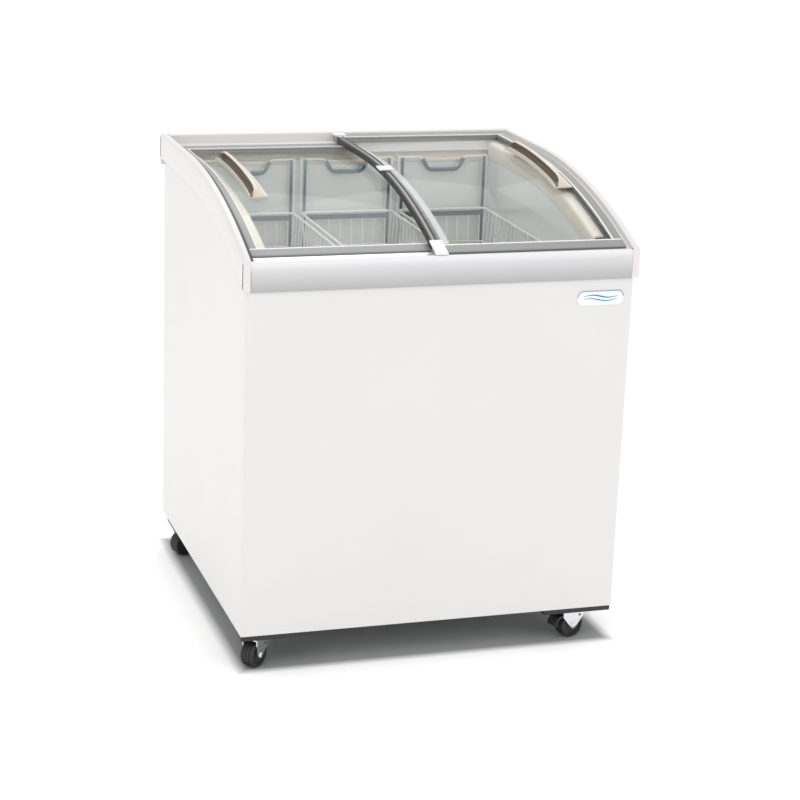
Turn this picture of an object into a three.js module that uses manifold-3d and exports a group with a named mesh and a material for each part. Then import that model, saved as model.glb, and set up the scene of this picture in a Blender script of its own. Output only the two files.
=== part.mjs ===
// Curved-top chest freezer on casters: a foamed cabinet with two sliding glass lids,
// three hanging baskets and a compressor bay at the rear.
// Millimetres, +Z up. Origin: floor, centre of the plan. -Y is the front, X runs along the lids' slide.

import * as THREE from 'three';
import { mergeVertices } from 'three/addons/utils/BufferGeometryUtils.js';
import Module from 'manifold-3d';

const wasm = await Module();
wasm.setup();

// ---- driving sizes ----
const overallWidth = 720;
const overallDepth = 690;
const bodyHeight = 774;
const fit = 0.3;

const crownRadius = 1215;
const flatTopLength = 219;
const bandHeight = 53;
const bandDrop = 2;

const sheet = 1.2;
const capOverhang = 7.2;
const capBandDepth = 48;
const capRimDepth = 16;
const capLedgeDrop = 8;
const capFrontWidth = 13.7;
const frontProud = 5;

const sideWall = 60;
const frontWall = 65;
const rearWall = 55;
const floorWall = 60;
const linerSheet = 1.5;
const linerTopOffset = 40.3;
const ledgeOffset = 47;
const bayDepth = 210;
const bayHeight = 235;

const glass = 4;
const lidFrame = 12;
const lidFrameWidth = 23;
const lidSideTrim = 18;
const lidInnerTrim = 14;
const upperLidOffset = 4;
const lidClearance = 2;
const trackStep = lidFrame + lidClearance;
const lidSideGap = 22;
const lidOverlap = 42;
const lidSetback = 13.3;
const lipDepth = 9;
const rearTopWidth = 22;

const handleLength = 272;
const handleWidth = 36;
const handleHeight = 20;
const leftHandle = { inset: 48, rearY: 180 };
const rightHandle = { inset: 20, rearY: 155 };

const basketCount = 3;
const basketGap = 10;
const basketWall = 3;
const basketFloorGap = 110;
const basketTaper = 12;
const frontHanger = 28;
const hangerWire = 5;
const gripWire = 8;

const wheelRadius = 24;
const wheelWidth = 26;
const axleRadius = 4;
const stemRadius = 6;
const casterTrail = 24;
const wheelGap = 3.7;
const casterInsetX = 55;
const casterInsetFront = 42;
const casterInsetRear = 83;
const cornerPlate = 10;
const crownPlate = 2.5;
const swivelGap = 0.8;
const legThickness = 2.2;

const compressorRadius = 62;
const compressorHeight = 150;
const fanRadius = 70;
const coverRecess = 12;

// ---- derived sizes ----
const halfW = overallWidth / 2;
const halfD = overallDepth / 2;
const crownPlateZ = 2 * wheelRadius + wheelGap;
const floorToBody = crownPlateZ + crownPlate + swivelGap + cornerPlate;
const topZ = floorToBody + bodyHeight;
const crownY = halfD - flatTopLength;
const crownZ = topZ - crownRadius;
const panelX = halfW - capOverhang - fit;
const panelY = halfD - frontProud;
const liningX = panelX - sheet - fit;
const liningY = panelY - sheet - fit;
const tankX = halfW - sideWall;
const tankFront = -halfD + frontWall;
const tankRear = halfD - rearWall;
const tankFloor = floorToBody + floorWall;
const bayFront = liningY - bayDepth;
const bayTop = floorToBody + bayHeight;
const stepFloor = bayTop + floorWall;
const stepY = bayFront - floorWall;
const lowerLidOffset = upperLidOffset + trackStep;
const lidX = halfW - lidSideGap;
const capInnerX = lidX + fit;
const railX = halfW - capFrontWidth - fit;

const painted = (color, roughness, metalness) => new THREE.MeshStandardMaterial({ color, roughness, metalness });
const paint = {
  whiteSteel: painted(0xf4f3f1, 0.35, 0.1),
  whitePlastic: painted(0xf6f4f0, 0.3, 0),
  creamPlastic: painted(0xe2d9cc, 0.4, 0),
  greyTrim: painted(0xc2c4c2, 0.35, 0.2),
  seal: painted(0x2b2a2e, 0.7, 0),
  brushed: painted(0xc8c8ce, 0.35, 0.9),
  liner: painted(0xd2d6d2, 0.35, 0.5),
  foam: painted(0xe8dcb0, 0.9, 0),
  glass: painted(0xdfe9e6, 0.05, 0),
  clear: painted(0xeef0ee, 0.2, 0),
  wire: painted(0xf2f2ef, 0.4, 0.1),
  black: painted(0x1c1c1e, 0.6, 0.1),
  rubber: painted(0x141416, 0.7, 0),
  chrome: painted(0xd8dadc, 0.15, 1),
  copper: painted(0xb8704a, 0.35, 1),
  badge: painted(0xf2f5f8, 0.25, 0),
};

// ---- solids ----
function toManifold(geometry) {
  const bare = geometry.clone();
  bare.deleteAttribute('normal');
  bare.deleteAttribute('uv');
  const merged = mergeVertices(bare, 1e-4);
  return new wasm.Manifold(new wasm.Mesh({
    numProp: 3,
    vertProperties: new Float32Array(merged.attributes.position.array),
    triVerts: new Uint32Array(merged.index.array),
  }));
}

function toGeometry(solid) {
  const mesh = solid.getMesh();
  const geometry = new THREE.BufferGeometry();
  geometry.setAttribute('position', new THREE.BufferAttribute(mesh.vertProperties, 3));
  geometry.setIndex(new THREE.BufferAttribute(mesh.triVerts, 1));
  geometry.computeVertexNormals();
  return geometry;
}

const join = (...pieces) => toGeometry(pieces.map(toManifold).reduce((all, one) => all.add(one)));
const cut = (base, ...tools) => toGeometry(
  tools.map(toManifold).reduce((rest, one) => rest.subtract(one), toManifold(base)));

function outline(points) {
  return new THREE.Shape(points.map(([a, b]) => new THREE.Vector2(a, b)));
}

// A box from its low corner to its high corner.
function block(lowX, lowY, lowZ, highX, highY, highZ) {
  const geometry = new THREE.BoxGeometry(highX - lowX, highY - lowY, highZ - lowZ);
  return geometry.translate((lowX + highX) / 2, (lowY + highY) / 2, (lowZ + highZ) / 2);
}

// A (Y, Z) outline pushed along X.
const alongX = new THREE.Matrix4().makeBasis(
  new THREE.Vector3(0, 1, 0), new THREE.Vector3(0, 0, 1), new THREE.Vector3(1, 0, 0));
function pushX(points, lowX, highX) {
  const geometry = new THREE.ExtrudeGeometry(outline(points), { depth: highX - lowX, bevelEnabled: false });
  return geometry.applyMatrix4(alongX).translate(lowX, 0, 0);
}

// An (X, Y) outline pushed up along Z.
function pushZ(points, lowZ, highZ) {
  const geometry = new THREE.ExtrudeGeometry(outline(points), { depth: highZ - lowZ, bevelEnabled: false });
  return geometry.translate(0, 0, lowZ);
}

function roundRod(radius, start, end, sides = 20) {
  const from = new THREE.Vector3(...start);
  const way = new THREE.Vector3(...end).sub(from);
  const geometry = new THREE.CylinderGeometry(radius, radius, way.length(), sides);
  const turn = new THREE.Quaternion().setFromUnitVectors(new THREE.Vector3(0, 1, 0), way.clone().normalize());
  const middle = from.clone().addScaledVector(way, 0.5);
  return geometry.applyQuaternion(turn).translate(middle.x, middle.y, middle.z);
}

// ---- the crown: every lid, cap and collar follows this curve at its own offset ----
const degrees = Math.PI / 180;

// Height of the curve `offset` below the crown line at a place along Y.
function crownHeight(offset, y) {
  const radius = crownRadius - offset;
  if (y >= crownY) return topZ - offset;
  return crownZ + Math.sqrt(radius ** 2 - (y - crownY) ** 2);
}

// The point `offset` below the crown line at an angle forward of the crown's start.
function crownPoint(offset, angle) {
  const radius = crownRadius - offset;
  return [crownY - radius * Math.sin(angle * degrees), crownZ + radius * Math.cos(angle * degrees)];
}

// Points along one offset between two angles, front first.
function crownArc(offset, frontAngle, rearAngle, steps = 14) {
  return Array.from({ length: steps + 1 }, (_, i) =>
    crownPoint(offset, frontAngle + (rearAngle - frontAngle) * i / steps));
}

// Points along one offset between two places along Y, front first.
function crownRun(offset, frontY, rearY, steps = 16) {
  const curveEnd = Math.min(crownY, rearY);
  const points = Array.from({ length: steps + 1 }, (_, i) => {
    const y = frontY + (curveEnd - frontY) * i / steps;
    return [y, crownHeight(offset, y)];
  });
  return rearY > crownY ? [...points, [rearY, topZ - offset]] : points;
}

// A strip between two offsets, its ends square in Y.
function crownBand(highOffset, lowOffset, frontY, rearY) {
  return [...crownRun(highOffset, frontY, rearY), ...crownRun(lowOffset, frontY, rearY).reverse()];
}

// A strip between two offsets, its front end square to the curve and its rear end on the flat.
function lidBand(highOffset, lowOffset, frontAngle, rearY) {
  return [
    ...crownArc(highOffset, frontAngle, 0), [rearY, topZ - highOffset],
    [rearY, topZ - lowOffset], ...crownArc(lowOffset, frontAngle, 0).reverse(),
  ];
}

const arcAngle = (length, offset) => length / (crownRadius - offset) / degrees;

// ---- the two lids' places ----
function lidPlace(offset, frontAngle, rearY) {
  const frameAngle = arcAngle(lidFrameWidth, offset);
  return {
    offset,
    frontAngle,
    rearY,
    frameAngle,
    frameRear: rearY - lidFrameWidth,
    glassOffset: offset + (lidFrame - glass) / 2,
  };
}

const upperFrontAngle = Math.asin((crownY + halfD - lidSetback) / (crownRadius - upperLidOffset)) / degrees;
const upperLid = lidPlace(upperLidOffset, upperFrontAngle, halfD - rearTopWidth - 3);
const lowerLid = lidPlace(lowerLidOffset, upperFrontAngle - upperLid.frameAngle - 0.2, upperLid.frameRear);
const glassSlot = 9;
const rightLidInnerX = -lidOverlap / 2 + 4;
const leftLidInnerX = rightLidInnerX + lidOverlap;

// A frame strip across a lid's front or rear edge, with a slot for the glass.
function lidFrontFrame(lid) {
  const outer = [...crownArc(lid.offset, lid.frontAngle, lid.frontAngle - lid.frameAngle, 3),
    ...crownArc(lid.offset + lidFrame, lid.frontAngle, lid.frontAngle - lid.frameAngle, 3).reverse()];
  const slotFront = lid.frontAngle - lid.frameAngle + arcAngle(glassSlot, lid.offset);
  const slotRear = lid.frontAngle - lid.frameAngle - 1;
  const slot = [...crownArc(lid.glassOffset - fit, slotFront, slotRear, 3),
    ...crownArc(lid.glassOffset + glass + fit, slotFront, slotRear, 3).reverse()];
  return { outer, slot };
}

function lidRearFrame(lid) {
  const high = topZ - lid.offset;
  const slotHigh = topZ - lid.glassOffset + fit;
  const low = high - lidFrame;
  const slotLow = slotHigh - glass - 2 * fit;
  const slotEnd = lid.frameRear + glassSlot;
  const outer = [[lid.frameRear, high], [lid.rearY, high], [lid.rearY, low], [lid.frameRear, low]];
  const slotStart = lid.frameRear - 5;
  const slot = [[slotStart, slotHigh], [slotEnd, slotHigh], [slotEnd, slotLow], [slotStart, slotLow]];
  return { outer, slot };
}

function slottedX({ outer, slot }, lowX, highX) {
  return cut(pushX(outer, lowX, highX), pushX(slot, lowX - 5, highX + 5));
}

function lidGlass(lid, lowX, highX) {
  const grip = glassSlot - 2 * fit;
  const front = lid.frontAngle - lid.frameAngle + arcAngle(grip, lid.offset);
  return pushX(lidBand(lid.glassOffset, lid.glassOffset + glass, front, lid.frameRear + grip), lowX, highX);
}

// A strip down a lid's side, between its front and rear frames. `slotSide` is the side the glass enters from.
function lidSideStrip(lid, lowX, highX, slotSide) {
  const front = lid.frontAngle - lid.frameAngle - arcAngle(fit, lid.offset);
  const rear = lid.frameRear - fit;
  const strip = pushX(lidBand(lid.offset, lid.offset + lidFrame, front, rear), lowX, highX);
  const slotLow = slotSide > 0 ? highX - glassSlot : lowX - 5;
  const slotHigh = slotSide > 0 ? highX + 5 : lowX + glassSlot;
  const slotOutline = lidBand(lid.glassOffset - fit, lid.glassOffset + glass + fit, front + 1, rear + 5);
  const slot = pushX(slotOutline, slotLow, slotHigh);
  return cut(strip, slot);
}

// Bends a bar drawn straight (across, up, along) so that it lies on a lid's glass from its rear end.
function bendOnGlass(geometry, lid, startX, rearY) {
  const radius = crownRadius - lid.glassOffset + fit;
  const position = geometry.attributes.position;
  for (let i = 0; i < position.count; i += 1) {
    const past = position.getZ(i) - (rearY - crownY);
    const angle = Math.max(0, past) / radius;
    const reach = radius + position.getY(i);
    const y = crownY - Math.min(0, past) - reach * Math.sin(angle);
    position.setXYZ(i, startX + position.getX(i), y, crownZ + reach * Math.cos(angle));
  }
  return geometry;
}

function handleBar(points, length, from, steps) {
  const shape = outline(points);
  return new THREE.ExtrudeGeometry(shape, { depth: length, steps, bevelEnabled: false }).translate(0, 0, from);
}

// A pull handle: a floor, a low lip on its left and a leaning wall over the finger recess.
function lidHandle(lid, startX, rearY) {
  const tall = handleHeight;
  const w = handleWidth;
  const floor = 3.5;
  const lip = [[0, tall * 0.4]];
  const wallBack = [[w, 0], [w, floor - 1], [w * 0.86, floor], [w * 0.45, tall], [w * 0.34, tall]];
  const recess = [[w * 0.3, tall - 2], [w * 0.6, floor], [5, floor], [3, tall * 0.4]];
  const endThick = 6;
  const bars = [
    handleBar([[0, 0], ...wallBack, ...recess, ...lip], handleLength, 0, 10),
    handleBar([[0, 0], ...wallBack, ...lip], endThick, 0, 1),
    handleBar([[0, 0], ...wallBack, ...lip], endThick, handleLength - endThick, 1),
  ].map((bar) => bendOnGlass(bar, lid, startX, rearY));
  return join(...bars);
}

// ---- cabinet ----
const panelLip = 14;

function frontPanel() {
  const top = crownHeight(0, -halfD) - bandDrop - bandHeight - fit;
  const face = block(-panelX, -panelY, floorToBody, panelX, -panelY + sheet, top);
  const lip = block(-liningX, -panelY, floorToBody, liningX, -panelY + panelLip, floorToBody + sheet);
  return join(face, lip);
}

function sidePanel(lowX) {
  const front = -panelY + sheet + fit;
  const rear = panelY - sheet - fit;
  const run = crownRun(capRimDepth + fit, front, rear);
  return pushX([...run, [rear, floorToBody], [front, floorToBody]], lowX, lowX + sheet);
}

const railWallBottom = topZ - 60;
const collarWall = 3;
const skirtReach = 3.3;

function rearPanel() {
  const top = topZ - lowerLidOffset - lidFrame - 8;
  return block(-panelX, panelY - sheet, bayTop, panelX, panelY, top);
}

function basePan() {
  const stemHole = stemRadius + 3;
  const pan = block(-liningX, -panelY + panelLip + fit, floorToBody + fit, liningX, liningY, floorToBody + 2 + fit);
  const holes = casterPlaces.map(({ x, y }) =>
    roundRod(stemHole, [x, y, floorToBody - 5], [x, y, floorToBody + 10]));
  return cut(pan, ...holes);
}

function tankOutline(grow, topOffset) {
  const front = tankFront - grow;
  const rear = tankRear + grow;
  const ledgeFront = tankFront + 4;
  const ledgeRear = tankRear - 4;
  const ledgeDrop = 3.3;
  return [
    [front, crownHeight(ledgeOffset + ledgeDrop, tankFront)],
    [ledgeFront, crownHeight(ledgeOffset + ledgeDrop, tankFront)],
    ...crownRun(topOffset, ledgeFront, ledgeRear),
    [ledgeRear, topZ - ledgeOffset - ledgeDrop], [rear, topZ - ledgeOffset - ledgeDrop],
    [rear, stepFloor - grow], [stepY + grow, stepFloor - grow],
    [stepY + grow, tankFloor - grow], [front, tankFloor - grow],
  ];
}

function innerLiner() {
  const outer = pushX(tankOutline(linerSheet, linerTopOffset), -tankX - linerSheet, tankX + linerSheet);
  const hollow = pushX([[tankFront, topZ + 50], [tankRear, topZ + 50], [tankRear, stepFloor], [stepY, stepFloor],
    [stepY, tankFloor], [tankFront, tankFloor]], -tankX, tankX);
  return cut(outer, hollow);
}

const coilTube = 8;
const coilGap = 1.5;
const coilTurns = 4;
const coilCorner = 8;
const coilTop = crownHeight(ledgeOffset, tankFront) - 45;
const coilBottom = stepFloor + 20;

// A path that passes through its points in equal steps, straight between them.
class StepPath extends THREE.Curve {
  constructor(points) {
    super();
    this.points = points;
  }

  getPoint(share, target = new THREE.Vector3()) {
    const place = share * (this.points.length - 1);
    const index = Math.min(Math.floor(place), this.points.length - 2);
    return target.lerpVectors(this.points[index], this.points[index + 1], place - index);
  }

  getPointAt(share, target) {
    return this.getPoint(share, target);
  }

  getTangentAt(share, target) {
    return this.getTangent(share, target);
  }
}

// The evaporator: a tube wound round the tank, one turn under another.
function evaporatorCoil() {
  const reachX = tankX + linerSheet + coilTube / 2 + coilGap;
  const front = tankFront - linerSheet - coilTube / 2 - coilGap;
  const rear = tankRear + linerSheet + coilTube / 2 + coilGap;
  const corners = [[1, 1], [-1, 1], [-1, -1], [1, -1]];
  const cornerSteps = 4;
  const points = [];
  for (let turn = 0; turn < coilTurns; turn += 1) {
    corners.forEach(([sideX, sideY], index) => {
      const cornerX = sideX * (reachX - coilCorner);
      const cornerY = sideY > 0 ? rear - coilCorner : front + coilCorner;
      const startAngle = Math.atan2(sideY, sideX) - Math.PI / 4;
      for (let step = 0; step <= cornerSteps; step += 1) {
        const angle = startAngle + step / cornerSteps * Math.PI / 2;
        const progress = (turn + (index + step / cornerSteps / 4) / 4) / coilTurns;
        points.push(new THREE.Vector3(cornerX + coilCorner * Math.cos(angle),
          cornerY + coilCorner * Math.sin(angle), coilTop + (coilBottom - coilTop) * progress));
      }
    });
  }
  const section = Array.from({ length: 8 }, (_, i) => {
    const angle = i / 8 * 2 * Math.PI;
    return [coilTube / 2 * Math.cos(angle), coilTube / 2 * Math.sin(angle)];
  });
  const settings = { steps: points.length - 1, extrudePath: new StepPath(points) };
  return new THREE.ExtrudeGeometry(outline(section), settings);
}

function foamInsulation() {
  const top = ledgeOffset + 7;
  const shell = pushX([...crownRun(top, -liningY, liningY), [liningY, bayTop + fit], [bayFront, bayTop + fit],
    [bayFront, floorToBody + 2 + 2 * fit], [-liningY, floorToBody + 2 + 2 * fit]], -liningX, liningX);
  const seat = linerSheet + fit;
  const low = tankFloor - seat;
  const step = stepFloor - seat;
  const hollowOutline = [[tankFront - seat, topZ + 50], [tankRear + seat, topZ + 50], [tankRear + seat, step],
    [stepY + seat, step], [stepY + seat, low], [tankFront - seat, low]];
  const hollow = pushX(hollowOutline, -tankX - seat, tankX + seat);
  const pocket = linerSheet + coilTube + 2 * coilGap;
  const coilRoom = block(-tankX - pocket, tankFront - pocket, coilBottom - coilTube,
    tankX + pocket, tankRear + pocket, coilTop + coilTube);
  return cut(shell, hollow, coilRoom);
}

// ---- top frame ----
// An end cap: a curved skirt outside the side panel, a rim over it and a ledge beside the lid.
function endCap(side) {
  const rear = halfD;
  const front = -halfD;
  const skirt = pushX(crownBand(0, capBandDepth, front, rear), panelX + fit, halfW);
  const rimInner = halfW - capFrontWidth;
  const rim = pushX(crownBand(0, capRimDepth, front, rear), rimInner, halfW - 1);
  const ledgeFront = front + lipDepth + fit;
  const ledgeRear = rear - rearTopWidth - fit;
  const ledge = pushX(crownBand(capLedgeDrop, capRimDepth, ledgeFront, ledgeRear), capInnerX, rimInner + 1);
  const bandTop = crownHeight(0, front) - bandDrop;
  const nose = block(rimInner, front, bandTop - bandHeight, halfW, front + frontProud - fit, bandTop);
  const tail = block(rimInner, panelY + fit, railWallBottom, halfW, rear, topZ - 1);
  const cap = join(skirt, rim, ledge, nose, tail);
  return side > 0 ? cap : mirrorX(cap);
}

function mirrorX(geometry) {
  const flipped = geometry.clone();
  const position = flipped.attributes.position;
  for (let i = 0; i < position.count; i += 1) position.setX(i, -position.getX(i));
  const index = Array.from(flipped.index.array);
  for (let i = 0; i < index.length; i += 3) [index[i], index[i + 1]] = [index[i + 1], index[i]];
  flipped.setIndex(index);
  flipped.computeVertexNormals();
  return flipped;
}

// The front rail: a tall face with a lip, and behind it the two lids' tracks.
function frontRail() {
  const face = -halfD;
  const bandTop = crownHeight(0, face) - bandDrop;
  const bandBottom = bandTop - bandHeight;
  const wall = 3;
  const shelf = lowerLidOffset + lidFrame + 0.7;
  const rib = upperLidOffset + lidFrame + 0.6;
  const shelfThick = 3.5;
  const shelfRear = lowerLid.frontAngle - lowerLid.frameAngle + 0.5;
  const ribFront = upperFrontAngle - 0.2;
  const ribRear = lowerLid.frontAngle + 0.35;
  const shelfAt = (offset, y) => [y, crownHeight(offset, y)];
  const inside = face + wall;
  return pushX([
    [face, bandBottom + 1], [face, bandTop - 2], [face + 2, bandTop], [face + lipDepth, bandTop],
    [face + lipDepth, bandTop - wall],
    [inside, bandTop - wall], shelfAt(shelf, inside),
    crownPoint(shelf, ribFront), crownPoint(rib, ribFront), crownPoint(rib, ribRear), crownPoint(shelf, ribRear),
    crownPoint(shelf, shelfRear), crownPoint(shelf + shelfThick, shelfRear),
    crownPoint(shelf + shelfThick, ribFront), shelfAt(shelf + shelfThick, inside),
    [inside, bandBottom + 2], [face + frontProud - fit, bandBottom + 2], [face + frontProud - fit, bandBottom],
    [face + 1, bandBottom],
  ], -railX, railX);
}

// The rear rail: a hollow-backed moulding with a step for each lid.
function rearRail() {
  const rear = halfD;
  const upperStep = topZ - upperLidOffset - lidFrame - 0.6;
  const lowerStep = topZ - lowerLidOffset - lidFrame - 0.6;
  const shelf = 4;
  const shelfFront = tankRear - skirtReach + fit;
  const stepAt = upperLid.frameRear + 3;
  const slotFront = panelY - sheet - 2;
  const slotRear = rear - 4;
  const slotTop = topZ - 8;
  return pushX([
    [rear, railWallBottom], [rear, topZ - 2], [rear - 2, topZ], [rear - rearTopWidth, topZ],
    [rear - rearTopWidth, upperStep], [stepAt, upperStep], [stepAt, lowerStep],
    [shelfFront, lowerStep], [shelfFront, lowerStep - shelf], [slotFront, lowerStep - shelf],
    [slotFront, slotTop], [slotRear, slotTop], [slotRear, railWallBottom],
  ], -railX, railX);
}

function rearCollar() {
  const top = topZ - lowerLidOffset - lidFrame - 5;
  const ledge = topZ - ledgeOffset;
  const face = tankRear - skirtReach;
  const back = tankRear + 8;
  const backOuter = back + collarWall;
  return pushX([[face, ledge - 8], [face, ledge], [back, ledge], [back, top], [liningY, top],
    [liningY, top - collarWall], [backOuter, top - collarWall], [backOuter, ledge - collarWall],
    [tankRear - fit, ledge - collarWall], [tankRear - fit, ledge - 8]], -tankX, tankX);
}

function frontCollar() {
  const ledge = crownHeight(ledgeOffset, tankFront);
  const face = tankFront + skirtReach;
  const shelf = lowerLidOffset + lidFrame + 0.7 + 3.5 + fit;
  const back = tankFront - 8;
  const backOuter = back - collarWall;
  const lid = -liningY;
  return pushX([[face, ledge - 8], [face, ledge], [back, ledge], [back, crownHeight(shelf, back) - 1],
    [lid, crownHeight(shelf, lid) - 1], [lid, crownHeight(shelf + collarWall, lid) - 1],
    [backOuter, crownHeight(shelf + collarWall, backOuter) - 1], [backOuter, ledge - collarWall],
    [tankFront + fit, ledge - collarWall], [tankFront + fit, ledge - 8]], -tankX, tankX);
}

// A side collar: a plate over the foam and a skirt down inside the tank.
function sideCollar(plateOffset) {
  const front = tankFront + skirtReach + 1;
  const rear = tankRear - skirtReach - 1;
  const plate = pushX(crownBand(plateOffset, plateOffset + collarWall, front, rear), tankX - skirtReach, liningX);
  const skirtBand = crownBand(plateOffset + collarWall - 1, linerTopOffset + 4, front, rear);
  const skirt = pushX(skirtBand, tankX - skirtReach, tankX - fit);
  return join(plate, skirt);
}

function badgePlate() {
  const width = 88;
  const height = 27;
  const corner = 12;
  const shape = new THREE.Shape();
  shape.moveTo(-width / 2 + corner, -height / 2);
  shape.lineTo(width / 2 - corner, -height / 2);
  shape.absarc(width / 2 - corner, -height / 2 + corner, corner, -Math.PI / 2, 0, false);
  shape.absarc(width / 2 - corner, height / 2 - corner, corner, 0, Math.PI / 2, false);
  shape.absarc(-width / 2 + corner, height / 2 - corner, corner, Math.PI / 2, Math.PI, false);
  shape.absarc(-width / 2 + corner, -height / 2 + corner, corner, Math.PI, 1.5 * Math.PI, false);
  return new THREE.ExtrudeGeometry(shape, { depth: 1.6, bevelEnabled: false, curveSegments: 6 });
}

// ---- casters ----
const casterX = halfW - casterInsetX;
const casterPlaces = [
  { name: 'front_left', x: -casterX, y: -halfD + casterInsetFront, turn: -50, front: true, braked: false },
  { name: 'front_right', x: casterX, y: -halfD + casterInsetFront, turn: -75, front: true, braked: true },
  { name: 'rear_left', x: -casterX, y: halfD - casterInsetRear, turn: -70, front: false, braked: false },
  { name: 'rear_right', x: casterX, y: halfD - casterInsetRear, turn: -20, front: false, braked: true },
];

function cornerPlateSolid({ x, y, front }) {
  const side = Math.sign(x);
  const inner = side * (halfW - 140);
  const outer = side * (halfW - 8);
  const frontPlate = [Math.min(inner, outer), -panelY + 2, Math.max(inner, outer), -panelY + 100];
  const rearPlate = [x - 45, y - 45, x + 45, y + 45];
  const [lowX, lowY, highX, highY] = front ? frontPlate : rearPlate;
  const plate = block(lowX, lowY, floorToBody - cornerPlate, highX, highY, floorToBody - fit);
  return cut(plate, roundRod(stemRadius + fit, [x, y, 0], [x, y, floorToBody + 5]));
}

const forkHalf = wheelWidth / 2 + 1.2;

// A caster's fork with its stem and its riveted axle, drawn at the stem with the trail along -Y.
function casterFork(braked) {
  const outer = forkHalf + legThickness;
  const crownTop = crownPlateZ + crownPlate;
  const reach = casterTrail + (braked ? wheelRadius : wheelRadius / 2);
  const crownOutline = [[-outer, -reach], [outer, -reach], [outer, 8], [outer - 5, 14], [-outer + 5, 14], [-outer, 8]];
  const crown = pushZ(crownOutline, crownPlateZ, crownTop);
  const legOutline = [[8, crownTop], [-reach, crownTop], [-reach, crownTop - 11], [-casterTrail - 8, wheelRadius],
    [-casterTrail - 6, wheelRadius - 6], [-casterTrail, wheelRadius - 8.5], [-casterTrail + 6, wheelRadius - 6],
    [-casterTrail + 8, wheelRadius]];
  const legs = [pushX(legOutline, forkHalf, outer), pushX(legOutline, -outer, -forkHalf)];
  const axleEnd = outer + 1.5;
  const axle = roundRod(axleRadius, [-axleEnd, -casterTrail, wheelRadius], [axleEnd, -casterTrail, wheelRadius]);
  const stem = roundRod(stemRadius, [0, 0, crownPlateZ + 0.5], [0, 0, floorToBody + 1]);
  return join(crown, ...legs, axle, stem);
}

// A wheel with a shallow tread groove, drawn on its own axle along Z.
function casterWheel() {
  const half = wheelWidth / 2;
  const r = wheelRadius;
  const bore = axleRadius + fit;
  const rim = r - 6;
  const points = [[bore, -half], [bore + 4, -half], [bore + 5, -half + 2], [rim, -half + 2], [rim + 1, -half],
    [r - 2, -half], [r, -half + 3], [r, half - 3], [r - 2, half], [rim + 1, half], [rim, half - 2],
    [bore + 5, half - 2], [bore + 4, half], [bore, half], [bore, -half]];
  return new THREE.LatheGeometry(points.map(([a, b]) => new THREE.Vector2(a, b)), 24);
}

const pedalPivotY = -casterTrail - wheelRadius + 3;
const pedalPivotZ = 2 * wheelRadius - 4;

// A brake pedal behind the wheel, drawn at its pivot with the trail along -Y.
function brakePedal() {
  const reach = forkHalf - 1;
  return pushX([[-2, 3], [-11, 0], [-16, -8], [-18, -18], [-15, -18], [-13, -9], [-9, -3.5], [-2, -2], [3, -1.5],
    [3, 2.6]], -reach, reach);
}

// ---- baskets ----
const basketPitch = 2 * tankX / basketCount;
const basketHalf = basketPitch / 2 - basketGap / 2;
const basketFront = tankFront + 9;
const basketRear = tankRear - 9;
const rimZ = crownHeight(ledgeOffset, tankFront) - frontHanger;
const basketHeight = rimZ - stepFloor - basketFloorGap;

function basketShell(inset, lowZ, highZ) {
  const lean = basketTaper * (highZ - lowZ) / basketHeight;
  const half = basketHalf - inset;
  const front = basketFront + inset;
  const rear = basketRear - inset;
  const ring = (shrink, z) => [[-half + shrink, front + shrink, z], [half - shrink, front + shrink, z],
    [half - shrink, rear - shrink, z], [-half + shrink, rear - shrink, z]];
  const corners = [...ring(lean, lowZ), ...ring(0, highZ)].flat();
  const faces = [0, 2, 1, 0, 3, 2, 4, 5, 6, 4, 6, 7];
  for (let i = 0; i < 4; i += 1) {
    const next = (i + 1) % 4;
    faces.push(i, next, 4 + next, i, 4 + next, 4 + i);
  }
  const geometry = new THREE.BufferGeometry();
  geometry.setAttribute('position', new THREE.Float32BufferAttribute(corners, 3));
  geometry.setIndex(faces);
  return geometry;
}

// One basket, drawn about its own centre line: an open tub with hangers, hooks and a grip at the rear.
function basketSolid() {
  const floor = rimZ - basketHeight;
  const tub = basketShell(0, floor, rimZ);
  const hollow = basketShell(basketWall, floor + basketWall, rimZ + 1);
  const w = hangerWire;
  const edge = basketHalf;
  const rearTop = topZ - ledgeOffset + fit;
  const frontTop = crownHeight(ledgeOffset, tankFront) + fit;
  const barY = basketRear - basketWall;
  const frontBarY = basketFront + basketWall;
  const hangerFoot = rimZ - 15;
  const hookReach = 5;
  const pieces = [cut(tub, hollow)];
  [-1, 1].forEach((side) => {
    const lowX = side > 0 ? edge - w : -edge;
    const highX = lowX + w;
    pieces.push(block(lowX, barY, hangerFoot, highX, barY + w, rearTop + w));
    pieces.push(block(lowX, barY, rearTop, highX, tankRear + hookReach, rearTop + w));
    pieces.push(block(lowX, frontBarY - w, hangerFoot, highX, frontBarY, frontTop + w));
    pieces.push(block(lowX, tankFront - hookReach, frontTop, highX, frontBarY, frontTop + w));
  });
  const gripTop = 46;
  const gripBottom = 30;
  const gripDip = 22;
  const barZ = rearTop + w;
  pieces.push(block(-edge, barY, rearTop, -gripTop, barY + w, barZ));
  pieces.push(block(gripTop, barY, rearTop, edge, barY + w, barZ));
  const lowBar = barZ - w;
  const dipTop = barZ - gripDip;
  const dipLow = dipTop - gripWire;
  const grip = outline([[-gripTop - 3, barZ], [-gripTop - 3, lowBar], [-gripTop, lowBar], [-gripBottom - 4, dipLow],
    [gripBottom + 4, dipLow], [gripTop, lowBar], [gripTop + 3, lowBar], [gripTop + 3, barZ],
    [gripTop - 3, barZ], [gripBottom, dipTop], [-gripBottom, dipTop], [-gripTop + 3, barZ]]);
  const gripBar = new THREE.ExtrudeGeometry(grip, { depth: w + 1, bevelEnabled: false });
  pieces.push(gripBar.rotateX(Math.PI / 2).translate(0, barY + w, 0));
  return join(...pieces);
}

// ---- machinery ----
const bayFloor = floorToBody + 2 + 2 * fit;

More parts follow.
